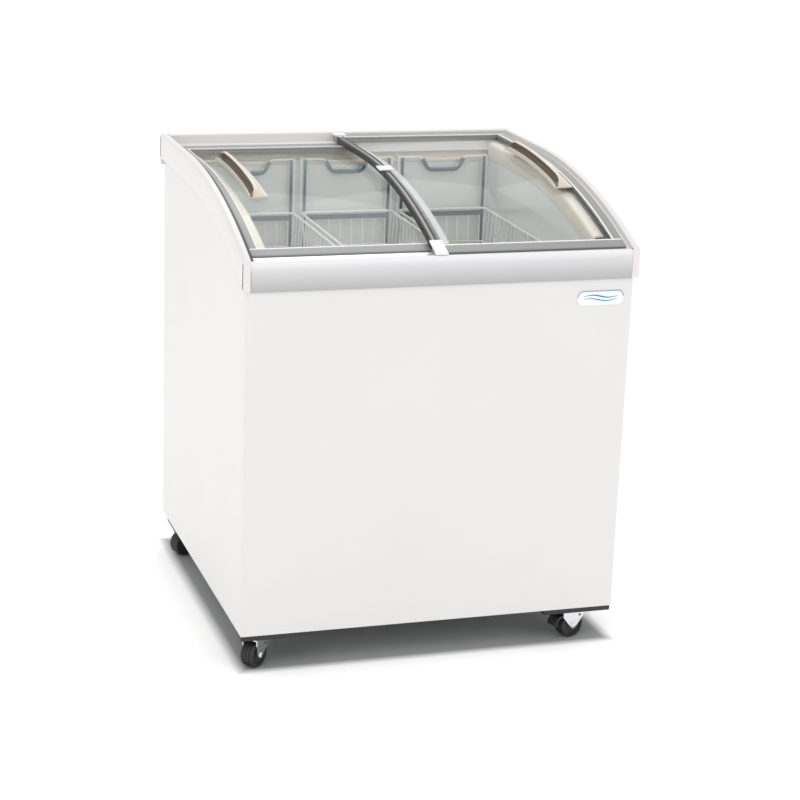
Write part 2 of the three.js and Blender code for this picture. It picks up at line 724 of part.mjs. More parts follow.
function compressorSolid() {
  const r = compressorRadius;
  const h = compressorHeight;
  const seamLow = h * 0.5;
  const seamHigh = h * 0.56;
  const points = [[0, 8], [r * 0.72, 8], [r * 0.92, 16], [r, 32], [r, seamLow], [r + 3, seamLow], [r + 3, seamHigh],
    [r, seamHigh], [r, h * 0.8], [r * 0.86, h * 0.94], [r * 0.5, h], [0, h]];
  const shell = new THREE.LatheGeometry(points.map(([a, b]) => new THREE.Vector2(a, b)), 28).rotateX(Math.PI / 2);
  const plate = block(-r - 12, -r * 0.8, 0, r + 12, r * 0.8, 9);
  return join(shell, plate);
}

function condenserSolid() {
  const length = 200;
  const depth = 44;
  const height = 160;
  const finCount = 7;
  const pieces = [];
  for (let i = 0; i < finCount; i += 1) {
    const x = -length / 2 + (length - 1.6) * i / (finCount - 1);
    pieces.push(block(x, -depth / 2, 0, x + 1.6, depth / 2, height));
  }
  [0.2, 0.5, 0.8].forEach((share) => {
    pieces.push(roundRod(4.5, [-length / 2 - 8, 0, height * share], [length / 2 + 8, 0, height * share], 10));
  });
  return join(...pieces);
}

function fanShroud() {
  const half = fanRadius + 14;
  const plate = block(-half, -2, 0, half, 2, 2 * half);
  const hole = roundRod(fanRadius + 3, [0, -10, half], [0, 10, half], 32);
  const bars = block(-half, 2, half - 6, half, 5, half + 6);
  return join(cut(plate, hole), bars);
}

function fanBlade() {
  const hub = roundRod(16, [0, -9, 0], [0, 9, 0], 20);
  const blades = Array.from({ length: 5 }, (_, i) => {
    const blade = new THREE.BoxGeometry(24, 2.4, fanRadius - 12).rotateZ(0.5).translate(0, 0, (fanRadius + 12) / 2);
    return blade.rotateY(i * 2 * Math.PI / 5);
  });
  return join(hub, ...blades);
}

const coverY = halfD - frontProud - coverRecess;

function rearCover() {
  const slots = [];
  const slotLength = 150;
  const plate = block(-liningX + 3, coverY - sheet, bayFloor + 2, liningX - 3, coverY, bayTop - 2);
  const slotPitch = 16;
  [0, 175].forEach((centre) => {
    for (let row = 0; row < 9; row += 1) {
      const z = bayFloor + 50 + row * slotPitch;
      slots.push(block(centre - slotLength / 2, coverY - 10, z, centre + slotLength / 2, coverY + 10, z + 6));
    }
  });
  const { switchX, switchZ, knobX, knobZ, glandX, glandZ } = controls;
  slots.push(block(switchX - 14, coverY - 10, switchZ - 11.5, switchX + 14, coverY + 10, switchZ + 11.5));
  slots.push(roundRod(4, [knobX, coverY - 10, knobZ], [knobX, coverY + 10, knobZ]));
  slots.push(roundRod(9, [glandX, coverY - 10, glandZ], [glandX, coverY + 10, glandZ]));
  return cut(plate, ...slots);
}

const controls = {
  knobX: -halfW + 100,
  knobZ: floorToBody + 165,
  switchX: -halfW + 100,
  switchZ: floorToBody + 100,
  glandX: -halfW + 100,
  glandZ: floorToBody + 40,
};

function thermostatKnob() {
  const profile = [[0, 0], [16, 0], [16, 3], [13, 4.5], [12, 10.5], [11, 11.4], [0, 11.4]];
  const dial = new THREE.LatheGeometry(profile.map(([a, b]) => new THREE.Vector2(a, b)), 28);
  const shaft = roundRod(3.6, [0, -14, 0], [0, 1, 0], 12);
  const pointer = block(-1.5, 10, 2, 1.5, 12.4, 12);
  return join(dial, shaft, pointer);
}

function powerSwitch() {
  const paddle = [[-9.4, 0], [-9.4, 2.5], [0, 1.2], [9.4, 5.5], [9.4, 0], [5, -8], [-5, -8]];
  const rocker = new THREE.ExtrudeGeometry(outline(paddle), { depth: 25, bevelEnabled: false });
  return rocker.applyMatrix4(new THREE.Matrix4().makeBasis(
    new THREE.Vector3(0, 0, 1), new THREE.Vector3(0, 1, 0), new THREE.Vector3(-1, 0, 0))).translate(12.5, 0, 0);
}

function cordGland() {
  const points = [[4, -10], [8.6, -10], [8.6, 0.4], [13, 0.4], [13, 4], [9, 7], [7.5, 10], [4, 10], [4, -10]];
  return new THREE.LatheGeometry(points.map(([a, b]) => new THREE.Vector2(a, b)), 24);
}

// ---- assembly ----
const freezer = new THREE.Group();
const half = Math.PI / 2;

function add(name, geometry, material, parent = freezer) {
  const mesh = new THREE.Mesh(geometry, material);
  mesh.name = name;
  parent.add(mesh);
  return mesh;
}

function addCabinet() {
  add('front_panel', frontPanel(), paint.whiteSteel);
  add('left_side_panel', sidePanel(-panelX), paint.whiteSteel);
  add('right_side_panel', sidePanel(panelX - sheet), paint.whiteSteel);
  add('rear_panel', rearPanel(), paint.whiteSteel);
  add('base_pan', basePan(), paint.whiteSteel);
  add('foam_insulation', foamInsulation(), paint.foam);
  add('inner_liner', innerLiner(), paint.liner);
  add('evaporator_coil', evaporatorCoil(), paint.copper);
}

function addTopFrame() {
  add('left_end_cap', endCap(-1), paint.whitePlastic);
  add('right_end_cap', endCap(1), paint.whitePlastic);
  add('front_rail', frontRail(), paint.brushed);
  add('rear_rail', rearRail(), paint.whitePlastic);
  add('front_collar', frontCollar(), paint.creamPlastic);
  add('rear_collar', rearCollar(), paint.creamPlastic);
  add('right_collar', sideCollar(lowerLidOffset), paint.creamPlastic);
  const left = mirrorX(sideCollar(lowerLidOffset + trackStep));
  add('left_collar', left, paint.creamPlastic);
  const badge = add('badge_plate', badgePlate(), paint.badge);
  badge.rotation.x = half;
  badge.position.set(halfW - 69, -panelY - fit, crownHeight(0, -halfD) - bandDrop - bandHeight - 34);
}

function addLid(name, lid, lowX, highX, side, handle) {
  const group = new THREE.Group();
  const handleX = side > 0 ? lidX - handle.inset - handleWidth : handle.inset - lidX;
  const outerLow = side > 0 ? highX - lidSideTrim : lowX;
  const innerLow = side > 0 ? lowX : highX - lidInnerTrim;
  const inset = glassSlot - 2 * fit;
  const glassLow = lowX + (side > 0 ? lidInnerTrim : lidSideTrim) - inset;
  const glassHigh = highX - (side > 0 ? lidSideTrim : lidInnerTrim) + inset;
  add(`${name}_glass`, lidGlass(lid, glassLow, glassHigh), paint.glass, group);
  add(`${name}_front_frame`, slottedX(lidFrontFrame(lid), lowX, highX), paint.greyTrim, group);
  add(`${name}_rear_frame`, slottedX(lidRearFrame(lid), lowX, highX), paint.greyTrim, group);
  add(`${name}_outer_trim`, lidSideStrip(lid, outerLow, outerLow + lidSideTrim, -side), paint.greyTrim, group);
  add(`${name}_inner_trim`, lidSideStrip(lid, innerLow, innerLow + lidInnerTrim, side),
    side > 0 ? paint.seal : paint.clear, group);
  add(`${name}_handle`, lidHandle(lid, handleX, handle.rearY), paint.creamPlastic, group);
  freezer.add(group);
  return group;
}

// Small guides along the upper lid's inner edge, over its trim.
function addClips(group) {
  const low = rightLidInnerX - 3;
  const high = rightLidInnerX + lidInnerTrim + 6;
  const top = upperLid.offset - 3.5;
  const foot = upperLid.offset - fit;
  const front = upperLid.frontAngle;
  const bandTop = crownHeight(0, -halfD) - bandDrop;
  const tip = -halfD + 3;
  const tipFoot = bandTop + 0.8;
  const tipTop = bandTop + 3.5;
  const frontClip = pushX([...crownArc(foot, front - 1.6, front + 0.1, 2), [tip + 5, tipFoot], [tip, tipFoot],
    [tip, tipTop], ...crownArc(top, front - 1.6, front - 0.5, 2).reverse()], low, high);
  const clipFront = arcAngle(crownY + 16, foot);
  const clipRear = arcAngle(crownY - 8, foot);
  const middleOutline = [
    ...crownArc(foot, clipFront, clipRear, 2), ...crownArc(top, clipFront, clipRear, 2).reverse()];
  const middleClip = pushX(middleOutline, low - 5, high);
  const flat = topZ - foot;
  const rearClip = block(low, upperLid.rearY - 22, flat, high, upperLid.rearY, flat + 3.2);
  add('front_clip', frontClip, paint.clear, group);
  add('middle_clip', middleClip, paint.clear, group);
  add('rear_clip', rearClip, paint.clear, group);
}

function addLids() {
  addLid('left_lid', lowerLid, -lidX, leftLidInnerX, -1, leftHandle);
  const right = addLid('right_lid', upperLid, rightLidInnerX, lidX, 1, rightHandle);
  addClips(right);
}

function addBaskets() {
  ['left', 'middle', 'right'].forEach((name, i) => {
    const basket = add(`${name}_basket`, basketSolid(), paint.wire);
    basket.position.x = (i - (basketCount - 1) / 2) * basketPitch;
  });
}

function addCasters() {
  casterPlaces.forEach((place) => {
    add(`${place.name}_corner_plate`, cornerPlateSolid(place), paint.black);
    const swivel = new THREE.Group();
    swivel.position.set(place.x, place.y, 0);
    swivel.rotation.z = place.turn * degrees;
    add(`${place.name}_fork`, casterFork(place.braked), paint.chrome, swivel);
    const wheel = add(`${place.name}_wheel`, casterWheel(), paint.rubber, swivel);
    wheel.rotation.z = half;
    wheel.position.set(0, -casterTrail, wheelRadius);
    if (place.braked) {
      const pedal = add(`${place.name}_brake_pedal`, brakePedal(), paint.black, swivel);
      pedal.position.set(0, pedalPivotY, pedalPivotZ);
    }
    freezer.add(swivel);
  });
}

function addMachinery() {
  const middleY = (bayFront + coverY) / 2;
  const compressor = add('compressor', compressorSolid(), paint.black);
  compressor.position.set(halfW - 150, middleY, bayFloor);
  const condenser = add('condenser', condenserSolid(), paint.black);
  condenser.position.set(-15, middleY - 45, bayFloor + 5);
  const shroud = add('fan_shroud', fanShroud(), paint.black);
  shroud.position.set(-15, middleY + 5, bayFloor + 2);
  const blade = add('fan_blade', fanBlade(), paint.black);
  blade.position.set(-15, middleY - 8, bayFloor + 2 + fanRadius + 14);
  const motor = add('fan_motor', roundRod(22, [0, 0, 0], [0, 40, 0], 24), paint.chrome);
  motor.position.set(-15, middleY + 10.5, bayFloor + 2 + fanRadius + 14);
  add('rear_cover', rearCover(), paint.whiteSteel);
  const knob = add('thermostat_knob', thermostatKnob(), paint.black);
  knob.position.set(controls.knobX, coverY + 0.6, controls.knobZ);
  const rocker = add('power_switch', powerSwitch(), paint.black);
  rocker.position.set(controls.switchX, coverY + 0.5, controls.switchZ);
  const gland = add('cord_gland', cordGland(), paint.black);
  gland.position.set(controls.glandX, coverY, controls.glandZ);
}

addCabinet();
addTopFrame();
addLids();
addBaskets();
addCasters();
addMachinery();

export default freezer;
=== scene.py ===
import math

import bmesh
import bpy
from mathutils import Matrix, Vector


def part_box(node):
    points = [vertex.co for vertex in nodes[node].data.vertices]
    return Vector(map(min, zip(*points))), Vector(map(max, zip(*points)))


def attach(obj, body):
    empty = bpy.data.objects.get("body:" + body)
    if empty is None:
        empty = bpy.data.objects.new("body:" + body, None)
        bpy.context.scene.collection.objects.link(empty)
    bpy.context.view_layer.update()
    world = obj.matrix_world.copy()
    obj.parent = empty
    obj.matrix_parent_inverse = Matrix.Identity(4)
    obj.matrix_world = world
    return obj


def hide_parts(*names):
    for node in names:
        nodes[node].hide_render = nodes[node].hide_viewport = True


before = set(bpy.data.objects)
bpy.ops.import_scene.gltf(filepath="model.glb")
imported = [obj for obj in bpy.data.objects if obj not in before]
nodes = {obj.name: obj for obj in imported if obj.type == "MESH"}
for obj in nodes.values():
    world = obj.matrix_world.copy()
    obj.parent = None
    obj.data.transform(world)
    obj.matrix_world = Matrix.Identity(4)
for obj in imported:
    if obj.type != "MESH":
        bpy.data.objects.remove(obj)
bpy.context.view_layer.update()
print("frame loaded,", len(nodes), "nodes")

# Every size below is in millimetres; addPiece turns a finished mesh into metres.
toMetres = 0.001


def boxOf(node):
    low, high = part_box(node)
    return low / toMetres, high / toMetres


def camel(name):
    first, *rest = name.split("_")
    return first + "".join(word.capitalize() for word in rest)


def linked(thing):
    bpy.context.scene.collection.objects.link(thing)
    return thing


def meshObject(name, shape):
    mesh = bpy.data.meshes.new(name)
    shape.to_mesh(mesh)
    shape.free()
    return bpy.data.objects.new(name, mesh)


# ---- camera, light and floor ----
cameraLook = {"place": (-1.2142, -3.8098, 1.5803), "yaw": 18.18, "pitch": 16.68, "roll": 2.20, "lens": 98.478}


def addCamera():
    yaw, pitch, roll = (math.radians(cameraLook[key]) for key in ("yaw", "pitch", "roll"))
    ahead = Vector((math.sin(yaw) * math.cos(pitch), math.cos(yaw) * math.cos(pitch), -math.sin(pitch)))
    right = Vector((math.cos(yaw), -math.sin(yaw), 0))
    up = right.cross(ahead)
    tiltedRight = right * math.cos(roll) + up * math.sin(roll)
    tiltedUp = up * math.cos(roll) - right * math.sin(roll)
    camera = linked(bpy.data.objects.new("camera", bpy.data.cameras.new("camera")))
    camera.data.lens = cameraLook["lens"]
    camera.data.sensor_width = 36
    turn = Matrix((tiltedRight, tiltedUp, -ahead)).transposed()
    camera.matrix_world = Matrix.Translation(cameraLook["place"]) @ turn.to_4x4()
    bpy.context.scene.camera = camera


studio = {
    "sky": (1.0, 1.0, 1.0), "skyPower": 1.0,
    "lamps": [
        # place, size, power, colour
        ((-1.6, -2.6, 3.2), 1.8, 15, (1.0, 0.985, 0.96)),
        ((2.6, -1.6, 2.2), 1.6, 7, (0.96, 0.98, 1.0)),
        ((0.3, 1.8, 2.9), 1.6, 14, (1.0, 1.0, 1.0)),
    ],
    "aim": (0.0, 0.0, 0.55), "floorSize": 60.0,
}


def addStudio():
    scene = bpy.context.scene
    scene.view_settings.view_transform = "Standard"
    scene.world = bpy.data.worlds.new("studio")
    scene.world.use_nodes = True
    sky = scene.world.node_tree.nodes["Background"]
    sky.inputs["Color"].default_value = (*studio["sky"], 1)
    sky.inputs["Strength"].default_value = studio["skyPower"]
    for index, (place, size, power, colour) in enumerate(studio["lamps"]):
        data = bpy.data.lights.new(f"lamp{index}", "AREA")
        data.size, data.energy, data.color = size, power, colour
        lamp = linked(bpy.data.objects.new(f"lamp{index}", data))
        lamp.location = place
        lamp.rotation_euler = (Vector(studio["aim"]) - Vector(place)).to_track_quat("-Z", "Y").to_euler()


# ---- shader maths ----
class Signal:
    def __init__(self, finish, socket):
        self.finish, self.socket = finish, socket

    def calc(self, operation, first, second=0.0):
        return self.finish.node("Math", {"operation": operation}, {0: first, 1: second})

    def __add__(self, other):
        return self.calc("ADD", self, other)

    def __sub__(self, other):
        return self.calc("SUBTRACT", self, other)

    def __rsub__(self, other):
        return self.calc("SUBTRACT", other, self)

    def __mul__(self, other):
        return self.calc("MULTIPLY", self, other)

    def __pow__(self, other):
        return self.calc("POWER", self, other)

    __radd__ = __add__
    __rmul__ = __mul__


class Finish:
    def __init__(self, name):
        self.material = bpy.data.materials.new(name)
        self.material.use_nodes = True
        self.tree = self.material.node_tree
        self.tree.nodes.clear()
        self.place = self.node("TexCoord", out="Object")

    def node(self, kind, settings=None, sockets=None, out=0):
        made = self.tree.nodes.new("ShaderNode" + kind)
        for key, value in (settings or {}).items():
            if key == "stops":
                ramp = made.color_ramp
                while len(ramp.elements) < len(value):
                    ramp.elements.new(1.0)
                for element, (position, colour) in zip(ramp.elements, value):
                    element.position, element.color = position, (*colour, 1)
            else:
                setattr(made, key, value)
        for key, value in (sockets or {}).items():
            if isinstance(value, Signal):
                self.tree.links.new(value.socket, made.inputs[key])
            elif isinstance(value, tuple) and len(made.inputs[key].default_value) == 4:
                made.inputs[key].default_value = (*value, 1)
            else:
                made.inputs[key].default_value = value
        return Signal(self, made.outputs[out])

    def noise(self, scale, detail=2.0, stretch=(1, 1, 1)):
        place = self.node("Mapping", None, {"Vector": self.place, "Scale": stretch})
        return self.node("TexNoise", None, {"Vector": place, "Scale": scale, "Detail": detail})

    def blend(self, share, first, second):
        return self.node("Mix", {"data_type": "RGBA"}, {0: share, 6: first, 7: second}, out=2)

    def ramp(self, share, stops):
        return self.node("ValToRGB", {"stops": stops}, {0: share})

    def axis(self, name):
        return self.node("SeparateXYZ", None, {0: self.place}, out=name)

    def bump(self, height, strength, distance):
        return self.node("Bump", None, {"Height": height, "Strength": strength, "Distance": distance})

    def surface(self, sockets):
        return self.node("BsdfPrincipled", None, sockets)

    def done(self, shader):
        output = self.tree.nodes.new("ShaderNodeOutputMaterial")
        self.tree.links.new(shader.socket, output.inputs["Surface"])
        return self.material


# A moulded or painted surface: two close tones, a fine skin and a little uneven gloss.
def skinFinish(name, dark, light, roughness, grainScale, grainDepth):
    finish = Finish(name)
    tone = finish.noise(4.0, 3.0)
    skin = finish.noise(grainScale, 2.0)
    return finish.done(finish.surface({
        "Base Color": finish.blend(tone, dark, light),
        "Roughness": skin * 0.08 + (roughness - 0.04),
        "Normal": finish.bump(skin, 0.25, grainDepth),
    }))


# Metal with fine lines along one axis.
def brushedFinish(name, dark, light, roughness, stretch):
    finish = Finish(name)
    lines = finish.noise(60, 4.0, stretch)
    return finish.done(finish.surface({
        "Base Color": finish.blend(lines, dark, light),
        "Metallic": 1.0,
        "Roughness": lines * 0.14 + (roughness - 0.07),
        "Normal": finish.bump(lines, 0.12, 0.0002),
    }))


# Height band over which the rail's painted reflection runs, from painted shade at the bottom to painted
# highlight at the top.
railPaintedSheen = {"low": 0.689, "span": 0.053}


# Brushed band whose colour carries painted light: darker towards the bottom and lighter towards the top, a
# painted reflection of the pale surroundings.
def railFinish():
    finish = Finish("brushedBand")
    height = (finish.axis("Z") - railPaintedSheen["low"]) * (1 / railPaintedSheen["span"])
    paintedSheenRamp = finish.ramp(height, [(0.0, (0.40, 0.40, 0.405)), (0.3, (0.50, 0.50, 0.507)),
                                 (0.72, (0.68, 0.68, 0.695)),
                                 (0.93, (0.87, 0.87, 0.882))])
    lines = finish.noise(60, 4.0, (0.08, 6, 6))
    return finish.done(finish.surface({
        "Base Color": finish.blend(lines * 0.25, paintedSheenRamp, (0.50, 0.50, 0.51)),
        "Metallic": 0.55,
        "Roughness": lines * 0.12 + 0.26,
        "Normal": finish.bump(lines, 0.12, 0.0002),
    }))


def linerFinish():
    finish = Finish("embossedLiner")
    cells = finish.node("TexVoronoi", {"feature": "SMOOTH_F1"}, {"Vector": finish.place, "Scale": 260.0})
    tone = finish.noise(3.0, 2.0)
    return finish.done(finish.surface({
        "Base Color": finish.blend(tone, (0.82, 0.845, 0.83), (0.87, 0.89, 0.875)),
        "Metallic": 0.2,
        "Roughness": tone * 0.1 + 0.16,
        "Normal": finish.bump(cells, 0.05, 0.0004),
    }))


glassLook = {"tint": (0.986, 0.992, 0.989), "mirror": 0.02, "edgeMirror": 0.26}


# Clear sheet: seen straight through, and mirroring more towards a low angle.
def glassFinish():
    finish = Finish("lidGlass")
    facing = finish.node("LayerWeight", None, {"Blend": 0.5}, out="Facing")
    mirror = facing ** 5 * glassLook["edgeMirror"] + glassLook["mirror"]
    haze = finish.noise(7.0, 3.0)
    through = finish.node("BsdfTransparent", None, {"Color": glassLook["tint"]})
    gloss = finish.surface({"Base Color": (0.93, 0.95, 0.95), "Metallic": 1.0,
                            "Roughness": haze * 0.03 + 0.01})
    return finish.done(finish.node("MixShader", None, {0: mirror, 1: through, 2: gloss}))


# Frosted plastic that lets part of the light through.
def frostedFinish(name, dark, light, solid):
    finish = Finish(name)
    tone = finish.noise(40.0, 3.0)
    through = finish.node("BsdfTransparent", None, {"Color": (0.97, 0.98, 0.98)})
    body = finish.surface({"Base Color": finish.blend(tone, dark, light), "Roughness": tone * 0.1 + 0.28})
    return finish.done(finish.node("MixShader", None, {0: tone * 0.1 + (solid - 0.05), 1: through, 2: body}))


def foamFinish():
    finish = Finish("foam")
    cells = finish.node("TexVoronoi", None, {"Vector": finish.place, "Scale": 420.0})
    return finish.done(finish.surface({
        "Base Color": finish.blend(cells, (0.66, 0.57, 0.33), (0.80, 0.72, 0.48)),
        "Roughness": 0.92,
        "Normal": finish.bump(cells, 0.5, 0.0008),
    }))


# dark and light tone, roughness, then the grain's scale and depth
skins = {
    "whiteSteel": ((0.705, 0.698, 0.691), (0.735, 0.728, 0.721), 0.34, 520.0, 0.0003),
    "whitePlastic": ((0.70, 0.682, 0.664), (0.74, 0.722, 0.704), 0.30, 1500.0, 0.00015),
    "creamPlastic": ((0.72, 0.655, 0.565), (0.78, 0.72, 0.64), 0.36, 1500.0, 0.00015),
    "handlePlastic": ((0.70, 0.63, 0.54), (0.76, 0.69, 0.60), 0.34, 1500.0, 0.00015),
    # painted shade: dark brown for the inside of the handles' finger recess, where shade falls in the hollow
    "recess": ((0.20, 0.17, 0.135), (0.25, 0.215, 0.175), 0.5, 1500.0, 0.0002),
    "greyTrim": ((0.25, 0.255, 0.253), (0.30, 0.305, 0.302), 0.32, 900.0, 0.00015),
    # painted highlight: pale beads along the lid trims' edges, standing in for the highlight there
    "edgeHighlight": ((0.83, 0.82, 0.79), (0.87, 0.86, 0.83), 0.3, 900.0, 0.00015),
    # black for real seals, and also painted shade where it fills the dark gaps beside the lids
    "blackSealAndShade": ((0.016, 0.015, 0.017), (0.03, 0.028, 0.032), 0.42, 1200.0, 0.0002),
    "sealGrey": ((0.30, 0.27, 0.285), (0.36, 0.33, 0.345), 0.35, 1200.0, 0.0002),
    "coatedWire": ((0.80, 0.79, 0.76), (0.85, 0.84, 0.81), 0.32, 700.0, 0.0003),
    # painted shade: dark blue-grey for the grip sleeves, rear strips and corner uprights, which sit in shade
    # behind the white baskets
    "shadedHangerWire": ((0.075, 0.11, 0.145), (0.115, 0.155, 0.195), 0.34, 700.0, 0.0003),
    "blackSteel": ((0.012, 0.012, 0.013), (0.022, 0.022, 0.024), 0.42, 700.0, 0.0003),
    "blackPlastic": ((0.014, 0.014, 0.015), (0.028, 0.028, 0.03), 0.4, 1300.0, 0.0002),
    "wheelRubber": ((0.010, 0.010, 0.011), (0.022, 0.022, 0.023), 0.5, 900.0, 0.0003),
    "badgeWhite": ((0.80, 0.84, 0.87), (0.85, 0.88, 0.91), 0.22, 1200.0, 0.0001),
    "badgeBlue": ((0.02, 0.07, 0.26), (0.03, 0.10, 0.32), 0.25, 1200.0, 0.0001),
    "badgeTeal": ((0.03, 0.28, 0.40), (0.05, 0.34, 0.46), 0.25, 1200.0, 0.0001),
}

# dark and light tone, roughness, then the stretch of the lines
brushedMetals = {
    "chrome": ((0.62, 0.63, 0.65), (0.80, 0.81, 0.83), 0.14, (1, 1, 8)),
    "motorSteel": ((0.42, 0.43, 0.45), (0.56, 0.57, 0.59), 0.34, (1, 8, 1)),
    "copper": ((0.55, 0.26, 0.14), (0.72, 0.40, 0.26), 0.32, (4, 4, 4)),
}

finishes = {
    "brushedBand": railFinish(),
    "liner": linerFinish(),
    "foam": foamFinish(),
    "glass": glassFinish(),
    "frosted": frostedFinish("frostedTrim", (0.62, 0.64, 0.63), (0.70, 0.72, 0.71), 0.86),
    "clipPlastic": frostedFinish("clipPlastic", (0.84, 0.85, 0.85), (0.90, 0.91, 0.91), 0.93),
    **{name: skinFinish(name, *look) for name, look in skins.items()},
    **{name: brushedFinish(name, *look) for name, look in brushedMetals.items()},
}


# White ground with a dark patch where the cabinet keeps the light out.
shadePatch = {"x": 0.352, "y": 0.345, "soft": 0.024}


def floorFinish():
    finish = Finish("studioFloor")
    outX = finish.axis("X").calc("ABSOLUTE", finish.axis("X")) - shadePatch["x"]
    outY = finish.axis("Y").calc("ABSOLUTE", finish.axis("Y")) - shadePatch["y"]
    edge = outX.calc("MAXIMUM", outX, outY) * (1 / shadePatch["soft"]) + 0.5
    share = finish.ramp(edge, [(0.0, (0.0, 0.0, 0.0)), (1.0, (1.0, 1.0, 1.0))])
    return finish.done(finish.surface({
        "Base Color": finish.blend(share, (0.34, 0.355, 0.35), (0.90, 0.90, 0.90)),
        "Roughness": 0.8,
        "Emission Color": finish.blend(share, (0.0, 0.0, 0.0), (1.0, 1.0, 1.0)),
        "Emission Strength": 0.22,
    }))


finishes["floor"] = floorFinish()


def addFloor():
    plane = bmesh.new()
    bmesh.ops.create_grid(plane, x_segments=1, y_segments=1, size=studio["floorSize"] / 2)
    floor = linked(meshObject("floor", plane))
    floor.data.materials.append(finishes["floor"])


addCamera()
addStudio()
addFloor()
print("camera, light and floor ready,", len(finishes), "finishes")


# ---- mesh helpers ----
def rounded(points, radius=1.0, steps=3):
    # A closed outline with its corners as arcs; a point's own radius may stand third.
    made = []
    for index, point in enumerate(points):
        corner = Vector(point[:2])
        back = Vector(points[index - 1][:2]) - corner
        onward = Vector(points[(index + 1) % len(points)][:2]) - corner
        half = back.angle(onward) / 2
        wanted = point[2] if len(point) > 2 else radius
        reach = min(wanted / math.tan(half), back.length * 0.48, onward.length * 0.48) if half < 1.55 else 0
        if reach < 1e-4:
            made.append(tuple(corner))
            continue
        size = reach * math.tan(half)
        centre = corner + (back.normalized() + onward.normalized()).normalized() * size / math.sin(half)
        first = corner + back.normalized() * reach - centre
        last = corner + onward.normalized() * reach - centre
        start = math.atan2(first.y, first.x)
        turn = (math.atan2(last.y, last.x) - start + math.pi) % (2 * math.pi) - math.pi
        for step in range(steps + 1):
            angle = start + turn * step / steps
            made.append((centre.x + size * math.cos(angle), centre.y + size * math.sin(angle)))
    return made


def skin(shape, rings, slot=0, closed=True, capped=True):
    # Faces between rings of points; the first and last ring are capped.
    rows = [[shape.verts.new(point) for point in ring] for ring in rings]
    count = len(rows[0])
    made = []
    for low, high in zip(rows, rows[1:]):
        for index in range(count if closed else count - 1):
            after = (index + 1) % count
            made.append(shape.faces.new((low[index], low[after], high[after], high[index])))
    if capped and closed:
        made.append(shape.faces.new(rows[0][::-1]))
        made.append(shape.faces.new(rows[-1]))
    for face in made:
        face.material_index = slot
    return made


def boxShape(shape, low, high, slot=0):
    (x0, y0, z0), (x1, y1, z1) = low, high
    ring = [(x0, y0), (x1, y0), (x1, y1), (x0, y1)]
    skin(shape, [[(x, y, z0) for x, y in ring], [(x, y, z1) for x, y in ring]], slot)


def alongX(shape, outline, lowX, highX, slot=0):
    skin(shape, [[(x, y, z) for y, z in outline] for x in (lowX, highX)], slot)


def lathe(shape, profile, sides, place, slot=0):
    # A profile of (radius, height) turned about Z, then put in place by a matrix.
    rings = []
    for radius, height in profile:
        reach = max(radius, 0.01)
        rings.append([place @ Vector((reach * math.cos(2 * math.pi * i / sides),
                                      reach * math.sin(2 * math.pi * i / sides), height))
                                      for i in range(sides)])
    skin(shape, rings, slot)


def addPiece(name, shape, finishNames, body, replaces=(), bevel=0.0, sharp=38):
    bmesh.ops.remove_doubles(shape, verts=shape.verts, dist=0.002)
    bmesh.ops.recalc_face_normals(shape, faces=shape.faces)
    for face in shape.faces:
        face.smooth = True
    if not bevel:
        for edge in shape.edges:
            edge.smooth = not (edge.is_manifold and edge.calc_face_angle() > math.radians(sharp))
    bmesh.ops.scale(shape, vec=(toMetres,) * 3, verts=shape.verts)
    piece = linked(meshObject(name, shape))
    for finishName in finishNames:
        piece.data.materials.append(finishes[finishName])
    if bevel:
        edges = piece.modifiers.new("edges", "BEVEL")
        edges.width, edges.segments, edges.limit_method = bevel * toMetres, 2, "ANGLE"
        edges.angle_limit, edges.harden_normals = math.radians(sharp), True
    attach(piece, body)
    if replaces:
        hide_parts(*replaces)
    return piece


def addFor(node, shape, finishNames, body, bevel=0.0, sharp=38):
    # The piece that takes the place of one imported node, and is named after it.
    return addPiece(camel(node), shape, finishNames, body, [node], bevel, sharp)


def repaint(node, finishName):
    mesh = nodes[node].data
    mesh.materials.clear()
    mesh.materials.append(finishes[finishName])


# ---- the crown that lids, caps and collars follow ----
crown = {"radius": 1215.0, "flatLength": 219.0, "bandDrop": 2.0}
lidDepths = {"left": 18.0, "right": 4.0}
crownTop = boxOf("left_end_cap")[1].z
crownStart = boxOf("left_end_cap")[1].y - crown["flatLength"]
crownCentre = crownTop - crown["radius"]


def crownHeight(depth, y):
    if y >= crownStart:
        return crownTop - depth
    return crownCentre + math.sqrt((crown["radius"] - depth) ** 2 - (y - crownStart) ** 2)


def crownPoint(depth, angle):
    reach = crown["radius"] - depth
    return crownStart - reach * math.sin(angle), crownCentre + reach * math.cos(angle)


def crownAngle(depth, y):
    return math.asin((crownStart - y) / (crown["radius"] - depth))


def overCrown(profile, front, rear, squareFront=True, steps=40):
    # Rings of an (x, depth) profile from the front up the curve and back along the flat.
    rings = []
    for step in range(steps + 1):
        ring = []
        for x, depth in profile:
            start = crownAngle(depth, front) if squareFront else front
            ring.append((x, *crownPoint(depth, start * (1 - step / steps))))
        rings.append(ring)
    rings.append([(x, rear, crownTop - depth) for x, depth in profile])
    return rings


def crownPatch(highDepth, lowDepth, frontAngle, rearAngle, corner=1.0, steps=6):
    # A (y, z) outline between two depths and two angles.
    angles = [frontAngle + (rearAngle - frontAngle) * step / steps for step in range(steps + 1)]
    top = [(*crownPoint(highDepth, angle), corner if angle in (frontAngle, rearAngle) else 0)
           for angle in angles]
    under = [(*crownPoint(lowDepth, angle), corner if angle in (frontAngle, rearAngle) else 0)
             for angle in angles]
    return rounded(top + under[::-1])


# ---- repeats and wires by geometry nodes ----
def newTree(name, inputs):
    tree = bpy.data.node_groups.new(name, "GeometryNodeTree")
    tree.interface.new_socket("Geometry", in_out="INPUT", socket_type="NodeSocketGeometry")
    for label, kind in inputs:
        tree.interface.new_socket(label, in_out="INPUT", socket_type="NodeSocket" + kind)
    tree.interface.new_socket("Geometry", in_out="OUTPUT", socket_type="NodeSocketGeometry")
    source = tree.nodes.new("NodeGroupInput")
    return tree, source.outputs


